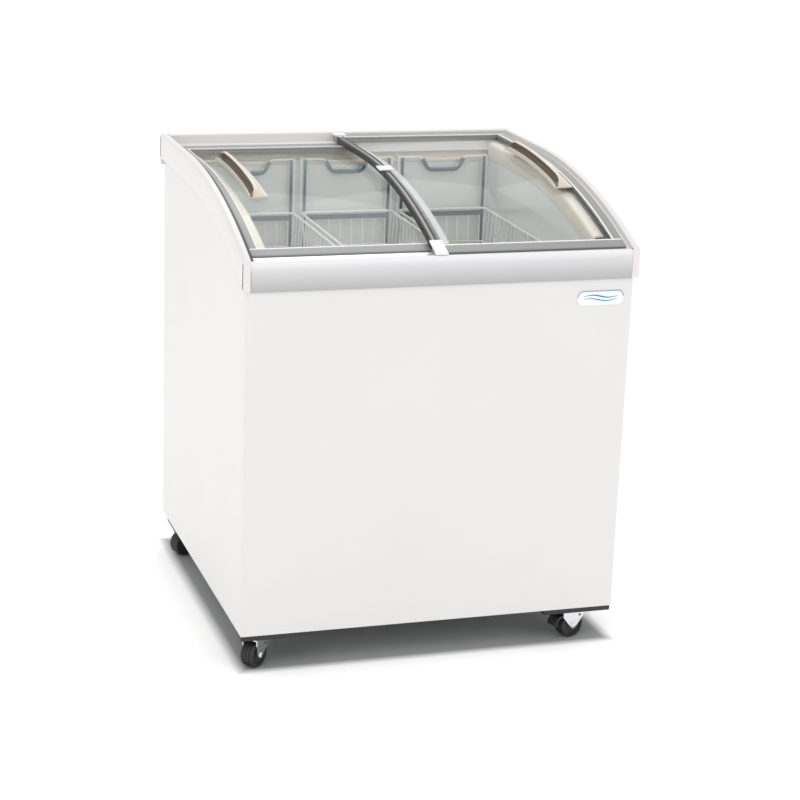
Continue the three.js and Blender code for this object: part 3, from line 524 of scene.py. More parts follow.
def chain(tree, geometry, steps):
    # Runs geometry through nodes; each step is a node type and what its other sockets get.
    for kind, sockets in steps:
        made = tree.nodes.new("GeometryNode" + kind)
        tree.links.new(geometry, made.inputs[0])
        for key, value in sockets.items():
            if isinstance(value, bpy.types.NodeSocket):
                tree.links.new(value, made.inputs[key])
            else:
                made.inputs[key].default_value = value
        geometry = made.outputs[0]
    tree.links.new(geometry, tree.nodes.new("NodeGroupOutput").inputs[0])


def wireTree():
    tree, given = newTree("wires", [("Wire Radius", "Float"), ("Sides", "Int"), ("Finish", "Material")])
    circle = tree.nodes.new("GeometryNodeCurvePrimitiveCircle")
    tree.links.new(given["Sides"], circle.inputs["Resolution"])
    tree.links.new(given["Wire Radius"], circle.inputs["Radius"])
    chain(tree, given["Geometry"], [
        ("MeshToCurve", {}),
        ("CurveToMesh", {"Profile Curve": circle.outputs["Curve"], "Fill Caps": True}),
        ("SetShadeSmooth", {}),
        ("RealizeInstances", {}),
        ("SetMaterial", {"Material": given["Finish"]}),
    ])
    return tree


def repeatTree():
    tree, given = newTree("repeat", [("Shape", "Object"), ("Spin", "Float"), ("Seed", "Int"),
                                     ("Finish", "Material")])
    shape = tree.nodes.new("GeometryNodeObjectInfo")
    tree.links.new(given["Shape"], shape.inputs["Object"])
    spin = tree.nodes.new("FunctionNodeRandomValue")
    spin.data_type = "FLOAT"
    tree.links.new(given["Spin"], spin.inputs[3])
    tree.links.new(given["Seed"], spin.inputs["Seed"])
    turn = tree.nodes.new("ShaderNodeCombineXYZ")
    tree.links.new(spin.outputs[1], turn.inputs["Y"])
    chain(tree, given["Geometry"], [
        ("InstanceOnPoints", {"Instance": shape.outputs["Geometry"], "Rotation": turn.outputs[0]}),
        ("RealizeInstances", {}),
        ("SetMaterial", {"Material": given["Finish"]}),
    ])
    return tree


trees = {"wires": wireTree(), "repeat": repeatTree()}


def grow(shape, treeName, inputs, source, slot=0):
    # Evaluates a tree on a source mesh and adds the plain result to a shape.
    holder = linked(bpy.data.objects.new("holder", source))
    modifier = holder.modifiers.new("tree", "NODES")
    modifier.node_group = trees[treeName]
    for item in trees[treeName].interface.items_tree:
        if item.in_out == "INPUT" and item.name in inputs:
            modifier[item.identifier] = inputs[item.name]
    graph = bpy.context.evaluated_depsgraph_get()
    made = bpy.data.meshes.new_from_object(holder.evaluated_get(graph), depsgraph=graph)
    holder.modifiers.remove(modifier)
    bpy.data.objects.remove(holder)
    known = len(shape.faces)
    shape.from_mesh(made)
    shape.faces.ensure_lookup_table()
    for face in shape.faces[known:]:
        face.material_index = slot
    bpy.data.meshes.remove(made)


def lineMesh(paths, closed=False):
    mesh = bpy.data.meshes.new("lines")
    points, edges = [], []
    for path in paths:
        first = len(points)
        points.extend(path)
        edges.extend((first + i, first + i + 1) for i in range(len(path) - 1))
        if closed:
            edges.append((len(points) - 1, first))
    mesh.from_pydata(points, edges, [])
    return mesh


def addWires(shape, paths, radius, finishName, slot=0, sides=8, closed=False):
    grow(shape, "wires", {"Wire Radius": radius, "Sides": sides, "Finish": finishes[finishName]},
         lineMesh(paths, closed), slot)


def bent(points, radius, steps=3):
    # An open path with its inner corners as arcs.
    made = [Vector(points[0])]
    for before, corner, after in zip(points, points[1:], points[2:]):
        corner = Vector(corner)
        back, onward = Vector(before) - corner, Vector(after) - corner
        reach = min(radius, back.length * 0.45, onward.length * 0.45)
        start, end = corner + back.normalized() * reach, corner + onward.normalized() * reach
        for step in range(steps + 1):
            share = step / steps
            made.append(start * (1 - share) ** 2 + corner * 2 * share * (1 - share) + end * share ** 2)
    made.append(Vector(points[-1]))
    return made


screw = {"radius": 4.2, "height": 1.8, "cross": 2.2, "crossWidth": 0.8, "crossDepth": 0.9}


def screwHead():
    # A domed head facing -Y, with a cross pressed in.
    shape = bmesh.new()
    r, h = screw["radius"], screw["height"]
    place = Matrix.Rotation(math.radians(90), 4, "X")
    lathe(shape, [(r, -0.6), (r, h * 0.35), (r * 0.86, h * 0.75), (r * 0.55, h), (0.01, h)], 14, place)
    arm, width = screw["cross"], screw["crossWidth"]
    boxShape(shape, (-arm, -h - 0.05, -width / 2), (arm, -h + screw["crossDepth"], width / 2))
    boxShape(shape, (-width / 2, -h - 0.05, -arm), (width / 2, -h + screw["crossDepth"], arm))
    bmesh.ops.recalc_face_normals(shape, faces=shape.faces)
    return meshObject("screwHead", shape)


screwShape = screwHead()


def addScrews(name, places, finishName, body, facing):
    # Screw heads at places, facing -Y until the matrix turns them.
    shape = bmesh.new()
    back = facing.inverted()
    grow(shape, "repeat", {"Shape": screwShape, "Spin": 6.28, "Seed": 7, "Finish": finishes[finishName]},
         lineMesh([[back @ Vector(place)] for place in places]))
    shape.transform(facing)
    return addPiece(name, shape, [finishName], body, sharp=30)


# ---- cabinet ----
panels = {"corner": 3.0, "wrap": 9.0, "sheet": 1.2, "seam": 0.5, "lip": 14.0}


def addFrontPanel():
    low, high = boxOf("front_panel")
    wrap = low.y + panels["wrap"]
    thick = panels["sheet"]
    outer = [(low.x, wrap, 0), (low.x, low.y, panels["corner"]), (high.x, low.y, panels["corner"]),
             (high.x, wrap, 0),
             (high.x - thick, wrap, 0), (high.x - thick, low.y + thick, panels["corner"] - thick),
             (low.x + thick, low.y + thick, panels["corner"] - thick), (low.x + thick, wrap, 0)]
    plan = rounded(outer, steps=5)
    shape = bmesh.new()
    skin(shape, [[(x, y, z) for x, y in plan] for z in (low.z, high.z)])
    boxShape(shape, (low.x + 2, low.y + thick, low.z), (high.x - 2, low.y + panels["lip"], low.z + thick))
    addFor("front_panel", shape, ["whiteSteel"], "cabinet")


def addSidePanel(side):
    name = "left" if side < 0 else "right"
    low, high = boxOf(f"{name}_side_panel")
    front = boxOf("front_panel")[0].y + panels["wrap"] + panels["seam"]
    steps = 24
    run = [front + (high.y - front) * step / steps for step in range(steps + 1)]
    outline = [(y, crownHeight(18, y)) for y in run] + [(high.y, low.z), (front, low.z)]
    shape = bmesh.new()
    alongX(shape, outline, low.x, high.x)
    addFor(f"{name}_side_panel", shape, ["whiteSteel"], "cabinet", 0.3)


liner = {"corner": 16.0, "topDepth": 50.3, "sheet": 1.5}
tankStep = {"y": 68.5, "z": 360.0}


def addLiner():
    low, high = boxOf("inner_liner")
    thick = liner["sheet"]
    x, front, rear = high.x - thick, low.y + thick, high.y - thick
    floor = low.z + thick
    stepY, stepZ = tankStep["y"], tankStep["z"]
    steps = 20
    run = [rear + (front - rear) * step / steps for step in range(steps + 1)]
    outline = [(front, floor), (stepY, floor), (stepY, stepZ), (rear, stepZ)]
    outline += [(y, crownHeight(liner["topDepth"], y)) for y in run]
    shape = bmesh.new()
    left = [shape.verts.new((-x, y, z)) for y, z in outline]
    right = [shape.verts.new((x, y, z)) for y, z in outline]
    walls = 5
    for index in range(len(outline)):
        after = (index + 1) % len(outline)
        if index < walls - 1 or after == 0:
            shape.faces.new((left[index], left[after], right[after], right[index]))
    shape.faces.new(left[::-1])
    shape.faces.new(right)
    inner = [edge for edge in shape.edges if len(edge.link_faces) == 2]
    bmesh.ops.bevel(shape, geom=inner, offset=liner["corner"], segments=5, profile=0.5, affect="EDGES")
    bmesh.ops.recalc_face_normals(shape, faces=shape.faces)
    bmesh.ops.triangulate(shape, faces=[face for face in shape.faces if len(face.verts) > 4])
    made = addFor("inner_liner", shape, ["liner"], "cabinet")
    wall = made.modifiers.new("wall", "SOLIDIFY")
    wall.thickness, wall.offset = thick * toMetres, 1.0
    made.modifiers.new("normals", "WEIGHTED_NORMAL").keep_sharp = True


def addCabinet():
    addFrontPanel()
    addSidePanel(-1)
    addSidePanel(1)
    addLiner()
    for node in ("rear_panel", "base_pan"):
        repaint(node, "whiteSteel")
    repaint("foam_insulation", "foam")
    repaint("evaporator_coil", "copper")


addCabinet()
print("cabinet done")


# ---- top frame ----
cap = {"rim": 13.7, "round": 7.0, "ledgeDrop": 8.0, "ledgeReach": 21.7, "rimDepth": 16.0, "bandDepth": 48.0,
       "skirt": 7.2, "grooveDrop": 3.0}


def mirrored(points, side):
    return [(x * side, *rest) for x, *rest in points]


def addEndCap(side):
    name = "left" if side < 0 else "right"
    low, high = boxOf("right_end_cap")
    outer = high.x
    inner = outer - cap["rim"]
    # (x, depth): the rim with its outer band and turned-in foot, and apart from it the ledge by the lid
    rim = [
        (inner, cap["rimDepth"], 0.4), (inner, 1.4, 0.6), (inner + 1.4, 0, 1.4), (outer, 0, cap["round"]),
        (outer, cap["bandDepth"], 2.2), (outer - cap["skirt"] + 3.2, cap["bandDepth"], 0.8),
        (outer - cap["skirt"] + 1.8, cap["bandDepth"] - cap["grooveDrop"], 0.5),
        (outer - cap["skirt"], cap["bandDepth"] - cap["grooveDrop"], 0.2),
        (outer - cap["skirt"], cap["rimDepth"], 0.2),
    ]
    ledge = [(outer - cap["ledgeReach"], cap["rimDepth"], 0.4),
             (outer - cap["ledgeReach"], cap["ledgeDrop"], 1.2),
             (inner + 1, cap["ledgeDrop"], 0.4), (inner + 1, cap["rimDepth"], 0.4)]
    front = low.y
    shape = bmesh.new()
    skin(shape, overCrown(mirrored(rounded(rim), side), front + 0.3, high.y, steps=56))
    # On the left cap the ledge is black: painted shade for the dark gap between the cap and the lower lid.
    ledgeShadeSlot = 1 if side < 0 else 0
    skin(shape, overCrown(mirrored(rounded(ledge), side), front + 9.6, high.y - 22.4, steps=56), ledgeShadeSlot)
    bandLow, bandHigh = boxOf("front_rail")[0].z, crownHeight(0, front) - crown["bandDrop"]
    nose = rounded([(front, bandLow, 5.0), (front, bandHigh + 2, 2.0), (front + 6, bandHigh + 4, 1.0),
                    (front + 6, bandLow, 1.0)], steps=5)
    xs = sorted((side * inner, side * outer))
    inset = 0.01
    rings = []
    for x, shrink in ((xs[0], 1.4), (xs[0] + 0.6, 0.5), (xs[0] + 1.6, 0), (xs[1] - 1.6, 0),
                      (xs[1] - 0.6, 0.5),
                      (xs[1], 1.4)):
        middle = (front + 3, (bandLow + bandHigh) / 2)
        rings.append([(x, max(y, front + shrink), z + (shrink if z < middle[1] else -shrink) + inset) for y,
                      z in nose])
    skin(shape, rings)
    tailLow = boxOf("rear_rail")[0].z
    tail = rounded([(high.y - 4.7, tailLow, 1), (high.y - 4.7, crownTop - 1.4, 1),
                    (high.y, crownTop - 1.4, 1),
                    (high.y, tailLow, 1.5)])
    alongX(shape, tail, *xs)
    addFor(f"{name}_end_cap", shape, ["whitePlastic", "blackSealAndShade"], "cabinet")


rail = {"lip": 9.0, "wall": 3.0, "bulge": 1.3, "shelfDepth": 30.7, "ribDepth": 16.6, "shelfThick": 3.5}


def addFrontRail():
    low, high = boxOf("front_rail")
    bandTop = crownHeight(0, low.y) - crown["bandDrop"]
    face, wall = low.y, rail["wall"]
    lidFront = crownAngle(lidDepths["right"], boxOf("right_lid_front_frame")[0].y)
    lowerFront = crownAngle(lidDepths["left"], boxOf("left_lid_front_frame")[0].y)
    ribFront, ribRear = lidFront - math.radians(0.2), lowerFront + math.radians(0.35)
    shelf, under = rail["shelfDepth"], rail["shelfDepth"] + rail["shelfThick"]
    shelfRear = lowerFront - math.radians(1.0)
    steps = 10
    curve = []
    for step in range(steps + 1):
        share = step / steps
        bow = rail["bulge"] * (2 * share - 1) ** 2
        curve.append((face + bow, low.z + (bandTop - 2 - low.z) * share, 0 if 0 < share < 1 else 1.2))
    outline = curve + [
        (face + 3, bandTop, 1.4), (face + rail["lip"], bandTop, 0.8), (face + rail["lip"], bandTop - wall, 0),
        (face + wall + 1, bandTop - wall, 0), (face + wall + 1, crownHeight(shelf, face + wall + 1), 0),
        (*crownPoint(shelf, ribFront), 0), (*crownPoint(rail["ribDepth"], ribFront), 0.5),
        (*crownPoint(rail["ribDepth"], ribRear), 0.5), (*crownPoint(shelf, ribRear), 0),
        (*crownPoint(shelf, shelfRear), 0.5), (*crownPoint(under, shelfRear), 0.5),
        (face + wall + 1, crownHeight(under, face + wall + 1), 0), (face + wall + 1, low.z + 1, 0),
    ]
    shape = bmesh.new()
    alongX(shape, rounded(outline), low.x, high.x)
    addFor("front_rail", shape, ["brushedBand"], "cabinet")


def addRearRail():
    low, high = boxOf("rear_rail")
    upper, lower = crownTop - rail["ribDepth"], crownTop - rail["shelfDepth"] + 0.1
    frontTop = high.y - 22
    lidRear = boxOf("left_lid_rear_frame")[1].y
    outline = [
        (high.y, low.z, 1), (high.y, crownTop, 3.5), (frontTop, crownTop, 1.5), (frontTop, upper, 1.0),
        (lidRear + 3, upper, 0.8), (lidRear + 3, lower, 0.8), (low.y, lower, 1.2), (low.y, lower - 4, 1.2),
        (high.y - 8.2, lower - 4, 0.5), (high.y - 8.2, crownTop - 8, 0.5), (high.y - 4, crownTop - 8, 0.5),
        (high.y - 4, low.z, 0.5),
    ]
    shape = bmesh.new()
    alongX(shape, rounded(outline), low.x, high.x)
    addFor("rear_rail", shape, ["whitePlastic"], "cabinet")


collar = {"wall": 3.0, "bend": 7.0, "skirtDepth": 50.0, "leftDepth": 32.0, "rightDepth": 18.0, "ledge": 47.0,
          "shelf": 35.5}


def addSideCollar(side):
    name = "left" if side < 0 else "right"
    low, high = boxOf(f"{name}_collar")
    depth = collar["leftDepth"] if side < 0 else collar["rightDepth"]
    inner, outer = min(abs(low.x), abs(high.x)), max(abs(low.x), abs(high.x))
    wall = collar["wall"]
    outline = [
        (outer, depth, 0.3), (inner, depth, collar["bend"]), (inner, collar["skirtDepth"], 1.0),
        (inner + wall, collar["skirtDepth"], 1.0), (inner + wall, depth + wall, collar["bend"] - wall),
        (outer, depth + wall, 0.3),
    ]
    profile = mirrored(rounded(outline, steps=5), side)
    shape = bmesh.new()
    skin(shape, overCrown(profile, low.y, high.y, steps=48))
    addFor(f"{name}_collar", shape, ["creamPlastic"], "cabinet")


def addCrossCollars():
    low, high = boxOf("rear_collar")
    ledge = crownTop - collar["ledge"]
    skirt, wall = 8.0, collar["wall"]
    back = low.y + 11.3
    rear = [(low.y, ledge - skirt, 1), (low.y, ledge, 3), (back, ledge, 2), (back, high.z, 3),
            (high.y, high.z, 0.5),
            (high.y, high.z - wall, 0.5), (back + wall, high.z - wall, 1), (back + wall, ledge - wall, 1),
            (low.y + wall, ledge - wall, 0.5), (low.y + wall, ledge - skirt, 1)]
    shape = bmesh.new()
    alongX(shape, rounded(rear), low.x, high.x)
    addFor("rear_collar", shape, ["creamPlastic"], "cabinet")
    low, high = boxOf("front_collar")
    ledge = crownHeight(collar["ledge"], high.y - 3.3)
    back = high.y - 11.3
    shelf = collar["shelf"]
    front = [(high.y, ledge - skirt, 1), (high.y, ledge, 3), (back, ledge, 2),
             (back, crownHeight(shelf, back) - 1, 2),
             (low.y, crownHeight(shelf, low.y) - 1, 0.5), (low.y, crownHeight(shelf + wall, low.y) - 1, 0.5),
             (back - wall, crownHeight(shelf + wall, back - wall) - 1, 1), (back - wall, ledge - wall, 1),
             (high.y - wall, ledge - wall, 0.5), (high.y - wall, ledge - skirt, 1)]
    shape = bmesh.new()
    alongX(shape, rounded(front), low.x, high.x)
    addFor("front_collar", shape, ["creamPlastic"], "cabinet")


badge = {"corner": 11.0, "edge": 1.1, "waves": 2, "waveWidth": 2.6, "waveRise": 2.4, "waveStep": 6.0}


def addBadge():
    low, high = boxOf("badge_plate")
    centre = Vector(((low.x + high.x) / 2, (low.z + high.z) / 2))
    halfWidth, halfHeight = (high.x - low.x) / 2, (high.z - low.z) / 2

    def plan(inset):
        w, h = halfWidth - inset, halfHeight - inset
        return rounded([(-w, -h), (w, -h), (w, h), (-w, h)], badge["corner"] - inset, 8)

    def ring(inset, y):
        return [(centre.x + a, y, centre.y + b) for a, b in plan(inset)]

    shape = bmesh.new()
    face = low.y + 0.5
    skin(shape, [ring(0, high.y), ring(0, face + 0.4), ring(0.4, face), ring(badge["edge"], face),
                 ring(badge["edge"] + 0.3, face + 0.25)])
    shape.faces.ensure_lookup_table()
    for index in range(badge["waves"]):
        base = (index - (badge["waves"] - 1) / 2) * badge["waveStep"]
        rings = []
        steps = 36
        for step in range(steps + 1):
            share = step / steps
            x = centre.x - halfWidth * 0.72 + halfWidth * 1.44 * share
            rise = badge["waveRise"] * math.sin(share * 2 * math.pi + index * 0.5) - base
            wide = badge["waveWidth"] * (0.25 + 0.75 * math.sin(math.pi * share)) / 2
            rings.append([(x, face + 0.5, centre.y + rise - wide),
                          (x, face - 0.1, centre.y + rise - wide * 0.7),
                          (x, face - 0.1, centre.y + rise + wide * 0.7),
                          (x, face + 0.5, centre.y + rise + wide)])
        skin(shape, rings, index + 1)
    rim = [(centre.x + a, face - 0.1, centre.y + b) for a, b in plan(0.9) if b > -halfHeight * 0.1]
    rim.sort(key=lambda point: point[0])
    addWires(shape, [rim], 0.55, "badgeBlue", 3, sides=6)
    addPiece("badge", shape, ["badgeWhite", "badgeBlue", "badgeTeal", "badgeBlue"], "cabinet",
             ["badge_plate"])


# Size of the black painted-shade strip in the lower lid's track.
trackShadeStrip = {"low": 338.5, "high": 345.8, "depthHigh": 16.4, "depthLow": 30.0}


def addTrackSeals():
    # Black strips in the gap between the lower lid and its cap: painted shade, a dark sheet where the gap
    # lies in shade.
    shape = bmesh.new()
    outline = [(trackShadeStrip["low"], trackShadeStrip["depthHigh"]), (trackShadeStrip["high"], trackShadeStrip["depthHigh"]),
               (trackShadeStrip["high"], trackShadeStrip["depthLow"]), (trackShadeStrip["low"] + 1.5, trackShadeStrip["depthLow"])]
    skin(shape, overCrown(mirrored(rounded(outline, 0.8), -1), -330, 318))
    addPiece("leftTrackSeal", shape, ["blackSealAndShade"], "cabinet")


def addTopFrame():
    addEndCap(-1)
    addEndCap(1)
    addFrontRail()
    addRearRail()
    addSideCollar(-1)
    addSideCollar(1)
    addCrossCollars()
    addTrackSeals()
    addBadge()


addTopFrame()
print("top frame done")


# ---- lids ----
lid = {"frame": 12.0, "frameWidth": 23.0, "glass": 4.0}


def lidInner(name):
    # The angle where a lid's front frame ends.
    depth = lidDepths[name]
    front = crownAngle(depth, boxOf(f"{name}_lid_front_frame")[0].y)
    return front - lid["frameWidth"] / (crown["radius"] - depth)


def addLidFrames(name):
    body = f"{name}_lid"
    depth = lidDepths[name]
    glassHigh = depth + (lid["frame"] - lid["glass"]) / 2
    low, high = boxOf(f"{name}_lid_front_frame")
    front = crownAngle(depth, low.y)
    inner = lidInner(name)
    # front strip with a pale inner bead, a painted highlight along its edge
    shape = bmesh.new()
    alongX(shape, crownPatch(depth, depth + lid["frame"], front, inner, 1.6), low.x, high.x)
    alongX(shape, crownPatch(depth - 0.25, depth + 2, inner + 0.0022, inner - 0.0006, 0.5, 2), low.x + 2,
           high.x - 2, 1)
    addFor(f"{name}_lid_front_frame", shape, ["greyTrim", "edgeHighlight"], body)
    low, high = boxOf(f"{name}_lid_rear_frame")
    outline = rounded([(low.y, high.z), (high.y, high.z), (high.y, low.z), (low.y, low.z)], 1.6)
    shape = bmesh.new()
    alongX(shape, outline, low.x, high.x)
    # A pale bead along the rear frame's edge: painted highlight.
    bead = rounded([(low.y - 0.4, high.z + 0.25), (low.y + 2, high.z + 0.25), (low.y + 2, high.z - 2),
                    (low.y - 0.4, high.z - 2)], 0.5)
    alongX(shape, bead, low.x + 2, high.x - 2, 1)
    addFor(f"{name}_lid_rear_frame", shape, ["greyTrim", "edgeHighlight"], body)
    # glass
    low, high = boxOf(f"{name}_lid_glass")
    pane = rounded([(low.x, glassHigh), (high.x, glassHigh), (high.x, glassHigh + lid["glass"]),
                    (low.x, glassHigh + lid["glass"])], 0.8, 2)
    shape = bmesh.new()
    skin(shape, overCrown(pane, inner + 0.01, high.y, False, 56))
    addFor(f"{name}_lid_glass", shape, ["glass"], body)
    # outer side strip, with a pale bead as a painted highlight along its inner edge
    low, high = boxOf(f"{name}_lid_outer_trim")
    side = 1 if low.x > 0 else -1
    outerX, innerX = max(abs(low.x), abs(high.x)), min(abs(low.x), abs(high.x))
    shape = bmesh.new()
    strip = [(outerX, depth, 1.8), (innerX + 1.5, depth, 0.6), (innerX, depth + 1.6, 0.6),
             (innerX, depth + lid["frame"], 1), (outerX, depth + lid["frame"], 1)]
    skin(shape, overCrown(mirrored(rounded(strip), side), inner, high.y, False, 48))
    bead = [(innerX + 2.2, depth - 0.3), (innerX + 2.2, depth + 2), (innerX - 0.5, depth + 2.4),
            (innerX - 0.3, depth)]
    skin(shape, overCrown(mirrored(rounded(bead, 0.5), side), inner, high.y, False, 48), 1)
    finishNames = ["greyTrim", "edgeHighlight"]
    if name == "right":
        # A black strip under the right lid's trim: painted shade for the dark gap between trim and collar.
        gapShadeStrip = [(innerX - 4.6, glassHigh + lid["glass"] + 0.2),
                  (innerX + 1, glassHigh + lid["glass"] + 0.2),
                  (innerX + 1, depth + 13.3), (innerX - 3.6, depth + 13.3)]
        skin(shape, overCrown(mirrored(rounded(gapShadeStrip, 0.6), side), inner, high.y, False, 48), 2)
        finishNames.append("blackSealAndShade")
    addFor(f"{name}_lid_outer_trim", shape, finishNames, body)


def addInnerTrims():
    # The upper lid's dark seal: two black lips with a paler channel between them.
    low, high = boxOf("right_lid_inner_trim")
    depth = lidDepths["right"]
    front = lidInner("right")
    thick = lid["frame"]
    wide = high.x - low.x
    lips = [
        ([(low.x, depth + 1.2, 1), (low.x + 1.2, depth, 1), (low.x + wide * 0.30, depth, 0.8),
          (low.x + wide * 0.34, depth + 1.8, 0.3), (low.x + wide * 0.34, depth + thick, 0.3),
          (low.x, depth + thick, 1)], 0),
        ([(low.x + wide * 0.30, depth + 1.2, 0.3), (low.x + wide * 0.72, depth + 1.2, 0.3),
          (low.x + wide * 0.72, depth + thick - 1, 0.3), (low.x + wide * 0.30, depth + thick - 1, 0.3)], 1),
        ([(low.x + wide * 0.70, depth, 0.8), (high.x - 1.2, depth, 1), (high.x, depth + 1.2, 1),
          (high.x, depth + thick, 1), (low.x + wide * 0.68, depth + thick, 0.3),
          (low.x + wide * 0.68, depth + 1.8, 0.3)], 0),
    ]
    shape = bmesh.new()
    for outline, slot in lips:
        skin(shape, overCrown(rounded(outline), front, high.y, False, 48), slot)
    addPiece("rightLidSeal", shape, ["blackSealAndShade", "sealGrey"], "right_lid", ["right_lid_inner_trim"])
    low, high = boxOf("left_lid_inner_trim")
    depth = lidDepths["left"]
    front = lidInner("left")
    strip = [(low.x, depth + 1.4, 0.6), (low.x + 1.6, depth, 0.6), (high.x, depth, 1.8),
             (high.x, depth + thick, 1),
             (low.x, depth + thick, 1)]
    shape = bmesh.new()
    skin(shape, overCrown(rounded(strip), front, high.y, False, 48))
    addFor("left_lid_inner_trim", shape, ["frosted"], "left_lid")


def addClips():
    # Three small guides on the upper lid's inner edge.
    depth = lidDepths["right"]
    front = crownAngle(depth, boxOf("right_lid_front_frame")[0].y)
    low, high = boxOf("front_clip")
    bandTop = crownHeight(0, boxOf("front_rail")[0].y) - crown["bandDrop"]
    nearEdge, farEdge = front - math.radians(1.6), front
    top = [(*crownPoint(depth - 3.4, nearEdge + (farEdge - nearEdge) * share), 0.8) for share in (0, 0.6)]
    foot = [(*crownPoint(depth - 0.3, nearEdge + (farEdge - nearEdge) * share), 0.4) for share in (1.06, 0)]
    outline = top + [(low.y, bandTop + 3.4, 1), (low.y, bandTop + 0.9, 0.6),
                     (low.y + 5, bandTop + 0.9, 0.4)] + foot
    shape = bmesh.new()
    alongX(shape, rounded(outline), low.x, high.x)
    boxShape(shape, (low.x + 8, low.y - 0.2, bandTop + 1.2), (high.x - 8, low.y + 2, bandTop + 3.0))
    addFor("front_clip", shape, ["clipPlastic"], "right_lid", 0.5)
    low, high = boxOf("middle_clip")
    patch = crownPatch(depth - 3.4, depth - 0.3, crownAngle(depth, low.y), crownAngle(depth, high.y), 0.9, 3)
    shape = bmesh.new()
    alongX(shape, patch, low.x, high.x)
    addFor("middle_clip", shape, ["clipPlastic"], "right_lid", 0.5)
    low, high = boxOf("rear_clip")
    shape = bmesh.new()
    boxShape(shape, low, high)
    for x in (low.x + 5, high.x - 5):
        boxShape(shape, (x - 3.4, low.y + 2, high.z - 0.9), (x + 3.4, high.y - 7, high.z - 0.1), 1)
    addFor("rear_clip", shape, ["clipPlastic", "blackSealAndShade"], "right_lid", 0.5)


handle = {"length": 272.0, "width": 36.0, "height": 20.0, "wall": 3.5, "endRun": 34.0, "steps": 52,
          "thickEnd": 6.0}


def addHandle(name):
    # A leaning wall over a finger recess, bent to lie on its glass from its rear end forward.
    glassHigh = lidDepths[name] + (lid["frame"] - lid["glass"]) / 2
    low, high = boxOf(f"{name}_lid_handle")
    reach = crown["radius"] - glassHigh + 0.3
    tall, width, wall, length = handle["height"], handle["width"], handle["wall"], handle["length"]
    flat = high.y - crownStart

    def bendRing(outline, along):
        angle = max(0.0, along - flat) / reach
        start = crownStart + max(0.0, flat - along)
        return [(low.x + across, start - (reach + up) * math.sin(angle),
                 crownCentre + (reach + up) * math.cos(angle))
                for across, up in outline]

    def section(swell, recess):
        height = wall + (tall - wall) * swell
        lip = max(tall * 0.4 * swell, wall)
        ridge = [(width, 0, 0.6), (width, wall - 1, 0.8), (width * 0.86, wall, 2.5),
                 (width * 0.46, height, 1.8),
                 (width * 0.33, height, 1.6)]
        if recess:
            mouth = [(width * 0.30, height - 2.2, 0.8), (width * 0.58, wall, 2.0), (5.0, wall, 1.2),
                     (3.0, lip, 1.0)]
        else:
            mouth = [(width * 0.26, height * 0.97, 0.8), (width * 0.2, height * 0.85, 0.8),
                     (width * 0.12, height * 0.6, 0.8), (3.0, lip, 0.8)]
        return rounded([(0, 0, 0.6), *ridge, *mouth, (0, lip, 1.0)])

    shape = bmesh.new()
    run, steps = handle["endRun"], handle["steps"]
    rings = []
    for step in range(steps + 1):
        along = length * step / steps
        edge = min(along, length - along)
        swell = 1.0 if edge >= run else math.sqrt(1 - (1 - edge / run) ** 2)
        rings.append(bendRing(section(swell, edge > handle["thickEnd"]), along))
    faces = skin(shape, rings)
    count = len(rings[0])
    # Faces inside the finger recess take the recess finish, a painted shade for the hollow's dark inside.
    for index, face in enumerate(faces[:-2]):
        if count * 0.62 < index % count < count * 0.88:
            face.material_index = 1
    addFor(f"{name}_lid_handle", shape, ["handlePlastic", "recess"], f"{name}_lid",
             sharp=50)


def addLids():
    for name in ("left", "right"):
        addLidFrames(name)
    addInnerTrims()
    addClips()
    addHandle("left")
    addHandle("right")


addLids()
print("lids done")


# ---- baskets ----
basket = {"rimWire": 2.6, "meshWire": 1.35, "pitch": 22.0, "taper": 12.0, "corner": 14.0, "hoops": 4,
          "stripHeight": 9.0, "stripDrop": 7.0, "gripTop": 46.0, "gripBottom": 30.0, "gripDip": 26.0,
          "gripRadius": 4.0, "wallGap": 9.0}
tankSpan = {"front": -280.0, "rear": 290.0, "rim": 691.2, "frontHook": 724.5}


